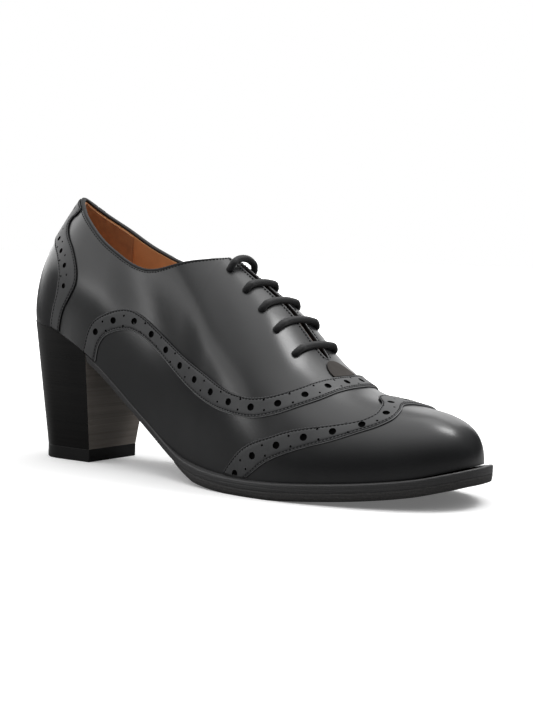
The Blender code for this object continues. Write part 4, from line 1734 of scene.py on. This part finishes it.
@dataclass
class Lacing:
    """One braided lace, run straight across the facings and behind them."""

    skin: Skin
    finishes: Wardrobe
    radius: float = 1.6
    hover: float = 0.10
    stand_off: float = 0.5
    sink: float = 1.3
    top_reach: float = 0.05
    depth: float = 3.8
    hole_middle: float = 0.9
    bar_reach: float = 0.80
    bar_points: int = 9
    hole_lifts: tuple[float, float] = (-1.2, 0.5)
    route_step: float = 0.35
    braid_step: float = 0.28
    plait: float = 1.5
    strands: float = 6.0
    relief: float = 0.09
    bars: Sequence[tuple[float, float, float]] = LACE_BARS

    def share(self, number: int, side: Side) -> float:
        """How far up the section a lace hole lies; the top one reaches further down the inner side."""
        reach = self.top_reach if number == 0 and side is Side.INNER else 0.0
        return self.bars[number][1] - reach

    def hole(self, number: int, side: Side, lift: float) -> Array:
        """Point on the axis of a lace hole."""
        share = np.array(self.share(number, side))
        return self.skin.at(np.array(self.bars[number][0]), share, np.array(side.value), lift)

    def holes(self) -> bpy.types.Object:
        """Guide points of the lace holes.

        Returns:
            The guide object.
        """
        places, normals = [], []
        for number, (t, _, _) in enumerate(self.bars):
            for side in Side:
                places.append(self.hole(number, side, -self.hole_middle))
                normals.append(self.skin.last.facing_normal(t, self.share(number, side), side.value))
        radii = np.full(len(places), Hole.EYELET.value * MM)
        return guide_mesh("lace_holes", np.array(places), [], {
            "surface_normal": np.array(normals), "hole_radius": radii})

    def bar(self, number: int, start: Side) -> Array:
        """Route of one bar from under one facing, over both, to under the other.

        Args:
            number: number of the bar, from the top.
            start: side that it starts on.

        Returns:
            Points of the route.
        """
        t, _, rise = self.bars[number]
        w = np.linspace(-self.bar_reach, self.bar_reach, self.bar_points)
        share = np.where(w < 0, self.share(number, Side.OUTER), self.share(number, Side.INNER))
        sink = 0.0 if number == 0 else self.sink
        lift = self.radius + self.hover + self.stand_off * w**2 - sink * (1 - w**2)
        over = self.skin.at(np.full_like(w, t), 1 - (1 - share) * np.abs(w), sign_of(w), lift)
        over[:, 2] += rise * (1 - w**2)
        ends = [self.hole(number, s, lift) for s in Side for lift in (-self.depth, *self.hole_lifts)]
        route = np.vstack([ends[:3], over, ends[:2:-1]])
        return route if start is Side.OUTER else route[::-1]

    def build(self, tree: bpy.types.NodeTree) -> bpy.types.Object:
        """Lace through all its holes, from one top hole to the other.

        Args:
            tree: tree that braids the cord.

        Returns:
            The finished piece.
        """
        outer, inner = Side.OUTER, Side.INNER
        order = ((1, outer), (3, inner), (4, outer), (2, inner), (0, outer))
        under = self.hole(0, outer, -self.depth)
        route = np.vstack([under] + [self.bar(number, start) for number, start in order])
        path = smooth_route(route, self.route_step)
        edges = [(i, i + 1) for i in range(len(path) - 1)]
        piece = guide_mesh("lace", path, edges, {})
        grow(piece, tree, {"Radius": self.radius * MM, "Step": self.braid_step * MM,
                           "Plait": self.plait * MM, "Strands": self.strands, "Relief": self.relief * MM,
                           "Cord": self.finishes.lace}, sharp_deg=80.0)
        return fit(piece, "waxed_cord", *(f"lace_bar_{n}" for n in range(1, len(self.bars) + 1)))


@dataclass
class Bottom:
    """Insole, outsole and tread."""

    last: Last
    finishes: Wardrobe
    seam: float = 0.3
    closed_seam: float = 0.05
    outsole: float = 3.0
    tread: float = 3.5
    insole: float = 2.5
    undercut_waist: float = 0.9
    margin_waist: float = 0.6
    margin_forepart: float = 3.7
    margin_from: float = 85.0
    margin_to: float = 132.0
    tread_from: float = 104.0
    tread_full: float = 118.0
    tread_lip: float = 0.7
    breast: float = 44.9
    undercut_from: float = 60.0
    undercut_to: float = 115.0
    spacing: float = 1.2
    insole_from: float = 0.35
    insole_to: float = 14.1
    insole_spacing: float = 2.0
    insole_lift: float = 0.1
    insole_inset: float = 2.5

    def margin(self, x: Array) -> Array:
        """How far the sole reaches outside the feather line."""
        share = smooth_step((x - self.margin_from) / (self.margin_to - self.margin_from))
        return self.margin_waist + (self.margin_forepart - self.margin_waist) * share

    def plate(self, name: str, numbers: Array, margin: Array, top: Array, low: Array,
              profile: Sequence[tuple[float, float]], finish: bpy.types.Material) -> bpy.types.Object:
        """Plate with a shaped edge.

        Args:
            name: name of the piece.
            numbers: section numbers.
            margin: reach outside the feather line at each section.
            top: height of the upper face.
            low: height of the lower face.
            profile: share of the thickness from the top, and how far the edge stands in there.
            finish: material.

        Returns:
            The new object.
        """
        x = self.last.section(numbers)[0]
        undercut = np.interp(x, (self.undercut_from, self.undercut_to), (self.undercut_waist, 0.0))
        rings = []
        for side in Side:
            edge = []
            for share, inset in profile:
                points = self.last.outline(numbers, side.value, margin - inset - undercut * share)
                points[:, 2] = top + (low - top) * share
                edge.append(points)
            rings.append(np.stack(edge, 1))
        ring = np.concatenate([rings[0], rings[1][:, ::-1]], 1)
        faces = ring_faces(len(numbers), ring.shape[1])
        return mesh_object(name, ring.reshape(-1, 3), faces, finish, outward=True)

    def numbers(self, start: float) -> Array:
        """Section numbers from a station to the toe."""
        return self.last.even_sections(float(self.last.section_at(start)), LAST_END, self.spacing)

    def build_outsole(self) -> bpy.types.Object:
        """Outsole from the heel breast to the toe, with a trimmed edge.

        Returns:
            The finished piece.
        """
        numbers = self.numbers(self.breast)
        x, feather, *_ = self.last.section(numbers)
        top = feather - self.closed_seam
        low = feather - 2 * self.seam - self.outsole + self.closed_seam
        piece = self.plate("outsole_edge", numbers, self.margin(x), top, low, OUTSOLE_PROFILE,
                           self.finishes.sole)
        return fit(plain_mesh(piece, sharp_deg=50.0), "sole_composite", "outsole")

    def build_tread(self) -> bpy.types.Object:
        """Tread of the forepart, feathered out at the waist.

        Returns:
            The finished piece.
        """
        numbers = self.numbers(self.tread_from)
        x, feather, *_ = self.last.section(numbers)
        top = feather - 2 * self.seam - self.outsole
        thick = np.interp(x, (self.tread_from, self.tread_full), (self.tread_lip, self.tread))
        low = np.maximum(top - thick, 0.0)
        piece = self.plate("tread_sheet", numbers, self.margin(x), top, low, TREAD_PROFILE,
                           self.finishes.tread)
        return fit(plain_mesh(piece, sharp_deg=50.0), "tread_rubber", "tread")

    def build_insole(self) -> bpy.types.Object:
        """Insole with its tan sock.

        Returns:
            The finished piece.
        """
        numbers = self.last.even_sections(self.insole_from, self.insole_to, self.insole_spacing)
        _, feather, *_ = self.last.section(numbers)
        base = feather + self.insole_lift
        margin = np.full(len(numbers), -self.insole_inset)
        piece = self.plate("insole_sock", numbers, margin, base + self.insole, base, INSOLE_PROFILE,
                           self.finishes.sock)
        return fit(plain_mesh(piece, sharp_deg=50.0), "tan_lining", "insole")


@dataclass
class BlockHeel:
    """Stacked block heel with its rubber top piece."""

    last: Last
    finishes: Wardrobe
    breast_top: float = 44.5
    breast_foot: float = 40.8
    foot_back: float = 6.2
    foot_straight: float = 20.0
    foot_half: float = 17.0
    arc_share: float = 0.62
    arc_sections: float = 2.3
    margin: float = 0.4
    top_piece: float = 6.0
    seam: float = 0.05
    lift_grow: float = 0.2
    lift: float = 1.9
    groove: float = 0.03
    straight_to: float = 44.0
    groove_half: float = 0.16
    arc_points: int = 26
    straight_points: int = 9
    breast_facing: float = 0.9

    def foot(self, part: float, side: float, grow_by: float = 0.0) -> tuple[float, float]:
        """Plan point of the foot of the heel, part 0 at the back to 1 at the breast.

        Args:
            part: share along one side of the heel.
            side: -1 on the outer side, 1 on the inner.
            grow_by: distance outside the foot.

        Returns:
            Place in plan.
        """
        middle = self.breast_foot - self.foot_straight
        if part < self.arc_share:
            angle = part / self.arc_share * math.pi / 2
            x = middle - (middle - self.foot_back + grow_by) * math.cos(angle)
            return x, side * (self.foot_half + grow_by) * math.sin(angle)
        run = (part - self.arc_share) / (1 - self.arc_share)
        return middle + run * (self.foot_straight + grow_by), side * (self.foot_half + grow_by)

    def seat(self, part: float, side: float) -> Array:
        """Point of the heel's seat under the upper.

        Args:
            part: share along one side of the heel.
            side: -1 on the outer side, 1 on the inner.

        Returns:
            Place in design millimetres.
        """
        breast = float(self.last.section_at(self.breast_top))
        if part <= self.arc_share:
            number = part / self.arc_share * self.arc_sections
        else:
            run = (part - self.arc_share) / (1 - self.arc_share)
            number = self.arc_sections + run * (breast - self.arc_sections)
        point = self.last.outline(np.array([number]), side, np.array([self.margin]))[0]
        point[2] -= self.seam
        return point

    def parts(self) -> Array:
        """Shares along one side of the heel."""
        arc = np.linspace(0, self.arc_share, self.arc_points)
        return np.concatenate([arc, np.linspace(self.arc_share, 1.0, self.straight_points)[1:]])

    def ring(self, parts: Array) -> list[tuple[float, float]]:
        """Part and side of each point round the heel, from the back along the outer side."""
        return [(p, Side.OUTER.value) for p in parts] + [(p, Side.INNER.value) for p in parts[:0:-1]]

    def build_block(self) -> bpy.types.Object:
        """Block with a fine groove between the lifts.

        Returns:
            The finished piece.
        """
        foot_z = self.top_piece + self.seam
        parts = self.parts()
        ring = self.ring(parts)
        seats = np.array([self.seat(p, s) for p, s in ring])
        feet = np.array([(*self.foot(p, s), foot_z) for p, s in ring])
        lifts = np.arange(foot_z, self.straight_to, self.lift)
        levels = [(foot_z, 0.0)]
        for z in lifts[1:]:
            levels += [(z - self.groove_half, 0.0), (z, self.groove), (z + self.groove_half, 0.0)]
        rows = []
        for z, inset in levels:
            share = ((z - foot_z) / (seats[:, 2] - foot_z))[:, None]
            row = feet + (seats - feet) * share
            middle = row[:, :2].mean(0)
            row[:, :2] += unit(middle - row[:, :2]) * inset
            rows.append(row)
        base = rows[-1]
        rows += [base + (seats - base) * share for share in np.linspace(0, 1, self.straight_points)[1:]]
        count = len(ring)
        points = np.concatenate(rows)
        faces = grid_faces(len(rows), count, close=True)
        for start in (0, (len(rows) - 1) * count):
            for i in range(len(parts) - 1):
                corners = (i, i + 1, count - i - 1, (count - i) % count)
                faces.append(tuple(start + corner for corner in dict.fromkeys(corners)))
        piece = mesh_object("heel_stack", points, faces, self.finishes.stack, outward=True)
        piece.data.materials.append(self.finishes.breast)
        for face in piece.data.polygons:
            face.material_index = int(face.normal.x > self.breast_facing)
        return fit(plain_mesh(piece, sharp_deg=45.0), "stacked_heel", "heel")

    def build_top_piece(self) -> bpy.types.Object:
        """Rubber top piece with eased edges.

        Returns:
            The finished piece.
        """
        ring = self.ring(np.concatenate([np.linspace(0, self.arc_share, self.arc_points), [1.0]]))
        profile = ((0.0, 0.55), (0.35, 0.2), (self.top_piece - 0.15, 0.2), (self.top_piece, 0.3))
        points = [(*self.foot(p, s, self.lift_grow - inset), z) for z, inset in profile for p, s in ring]
        faces = ring_faces(len(profile), len(ring))
        piece = mesh_object("heel_lift", np.array(points), faces, self.finishes.lift, outward=True)
        return fit(plain_mesh(piece, sharp_deg=30.0), "heel_rubber", "top_piece")


# Studio


@dataclass(frozen=True)
class Softbox:
    """Area light in metres and watts."""

    name: str
    place: tuple[float, float, float]
    aim: tuple[float, float, float]
    size: tuple[float, float]
    power: float

    def light(self) -> None:
        """Hang the light."""
        lamp = bpy.data.lights.new(self.name, "AREA")
        lamp.shape = "RECTANGLE"
        lamp.size, lamp.size_y = self.size
        lamp.energy = self.power
        hung = bpy.data.objects.new(self.name, lamp)
        hung.location = self.place
        hung.rotation_euler = (Vector(self.aim) - Vector(self.place)).to_track_quat("-Z", "Y").to_euler()
        bpy.context.scene.collection.objects.link(hung)


@dataclass
class Studio:
    """White floor, soft lights and the camera at the photograph's angle."""

    camera_place: tuple[float, float, float] = (0.3809, -0.5377, 0.1019)
    camera_aim: tuple[float, float, float] = (0.0202, -0.0110, 0.0565)
    camera_roll_deg: float = 1.65
    lens: float = 74.9
    sensor: float = 36.0
    floor_half: float = 12.0
    floor_glow: float = 0.14
    floor_bounce: float = 0.26
    floor_white: float = 0.94
    glow_from: float = 0.15
    glow_to: float = 0.8
    dome_from: float = 0.15
    dome_to: float = 0.95
    dome_power: float = 2.0
    sky_low: float = 0.05
    sky_top: float = 1.90
    softboxes: Sequence[Softbox] = (
        Softbox("overhead", (0.21, 0.61, 0.95), (0.05, 0.0, 0.05), (0.9, 0.5), 1.3),
        Softbox("toe", (0.39, 0.41, 0.84), (0.10, 0.0, 0.03), (0.34, 0.34), 3.0),
        Softbox("left", (-0.985, -0.685, 0.62), (-0.05, -0.03, 0.06), (1.56, 0.45), 3.1),
        Softbox("strip", (-0.84, -0.97, 0.33), (-0.05, -0.03, 0.06), (0.36, 0.13), 1.0),
        Softbox("backdrop", (-1.35, 0.45, 0.45), (0.0, 0.0, 0.08), (1.0, 0.5), 4.0),
        Softbox("behind", (-0.39, 1.16, 0.41), (0.08, 0.0, 0.05), (0.7, 0.6), 1.7),
    )

    def set_camera(self) -> None:
        """Place the camera."""
        lens = bpy.data.cameras.new("camera")
        lens.lens = self.lens
        lens.sensor_width = self.sensor
        lens.clip_start = 0.01
        camera = bpy.data.objects.new("camera", lens)
        forward = (Vector(self.camera_aim) - Vector(self.camera_place)).normalized()
        turn = forward.to_track_quat("-Z", "Y").to_matrix()
        roll = Matrix.Rotation(math.radians(self.camera_roll_deg), 3, "Z")
        camera.matrix_world = Matrix.Translation(self.camera_place) @ (turn @ roll).to_4x4()
        bpy.context.scene.collection.objects.link(camera)
        bpy.context.scene.camera = camera

    def set_light(self) -> None:
        """Set the sky and the lights."""
        world = bpy.data.worlds.new("studio")
        world.use_nodes = True
        sketch = Sketch(world.node_tree)
        back = world.node_tree.nodes["Background"]
        back.inputs["Color"].default_value = (1.0, 1.0, 1.0, 1.0)
        seen = sketch.add("ShaderNodeLightPath").outputs["Is Camera Ray"]
        way = sketch.add("ShaderNodeTexCoord").outputs["Generated"]
        height = sketch.add("ShaderNodeSeparateXYZ", {"Vector": way}).outputs["Z"]
        rise = sketch.add("ShaderNodeMapRange", {
            "Value": height, "From Min": self.dome_from, "From Max": self.dome_to})
        dome = sketch.span(sketch.math("POWER", rise, self.dome_power), self.sky_low, self.sky_top)
        sketch.join(back.inputs["Strength"], sketch.math("MAXIMUM", dome, seen))
        bpy.context.scene.world = world
        bpy.context.scene.view_settings.view_transform = "Standard"
        for box in self.softboxes:
            box.light()

    def set_floor(self) -> None:
        """Lay the floor."""
        made = Surface("floor", 0.9)
        sketch = made.sketch
        seen = sketch.add("ShaderNodeLightPath").outputs["Is Camera Ray"]
        far = sketch.add("ShaderNodeVectorMath", {0: made.place}, operation="LENGTH").outputs["Value"]
        glow = sketch.add("ShaderNodeMapRange", {
            "Value": far, "From Min": self.glow_from, "From Max": self.glow_to,
            "To Min": self.floor_glow, "To Max": 1.0})
        made.set({"Base Color": sketch.span(seen, self.floor_bounce, self.floor_white),
                  "Specular IOR Level": 0.1, "Emission Color": (1.0, 1.0, 1.0, 1.0),
                  "Emission Strength": sketch.math("MULTIPLY", glow, seen)})
        half = self.floor_half
        mesh = bpy.data.meshes.new("floor")
        corners = [(-half, -half, 0), (half, -half, 0), (half, half, 0), (-half, half, 0)]
        mesh.from_pydata(corners, [], [(0, 1, 2, 3)])
        new_object("floor", mesh, made.material)


def main() -> None:
    """Dress the shoe and set the studio."""
    logging.basicConfig(level=logging.INFO, format="%(name)s %(message)s")
    studio = Studio()
    studio.set_camera()
    studio.set_light()
    studio.set_floor()

    last = Last()
    skin = Skin(last)
    finishes = Wardrobe()
    stitches, punch, braid = stitch_tree(), punch_tree(), braid_tree()

    lacing = Lacing(skin, finishes)
    eyelets = lacing.holes()
    upper = Upper(skin, finishes)
    upper.build_leather(eyelets, punch)
    bpy.data.objects.remove(eyelets)
    upper.build_lining()
    upper.build_grip()
    upper.build_binding()
    upper.build_facing_edge()
    upper.build_patch()
    upper.build_tongue()
    lacing.build(braid)

    collar = COUNTER_TAB[:, 0]
    below = last.topline_share(collar, Side.OUTER.value) - COUNTER_TOP_INSET
    tab = np.stack([collar, below, np.zeros(len(collar)), COUNTER_TAB[:, 1]], -1)
    bands = (
        BroguedBand("vamp_band_leather", "vamp_band", VAMP_EDGES, skin, finishes, folded=False),
        BroguedBand("wing_band_leather", "wing_band", WING_EDGES, skin, finishes,
                    pitch=12.25, off_ridge=7.35),
        BroguedBand("counter_band_leather", "counter_band", np.vstack([COUNTER_EDGES, tab]), skin, finishes,
                    spots=COUNTER_HOLES, closes_at_back=True, punch=Hole.MEDIUM, pair_reach=2.0,
                    hole_depth=0.75, thickness=0.8),
    )
    stitching = Stitching(finishes)
    stitching.sew("edge_stitches", upper.edge_lines(), stitches)
    for band in bands:
        band.build(punch)
        band.build_rims()
        lines = [line for side in Side for line in band.stitch_lines(side)]
        stitching.sew(band.node + "_stitches", lines, stitches)

    bottom = Bottom(last, finishes)
    bottom.build_insole()
    bottom.build_outsole()
    bottom.build_tread()
    heel = BlockHeel(last, finishes)
    heel.build_block()
    heel.build_top_piece()


if __name__ == "__main__":
    main()
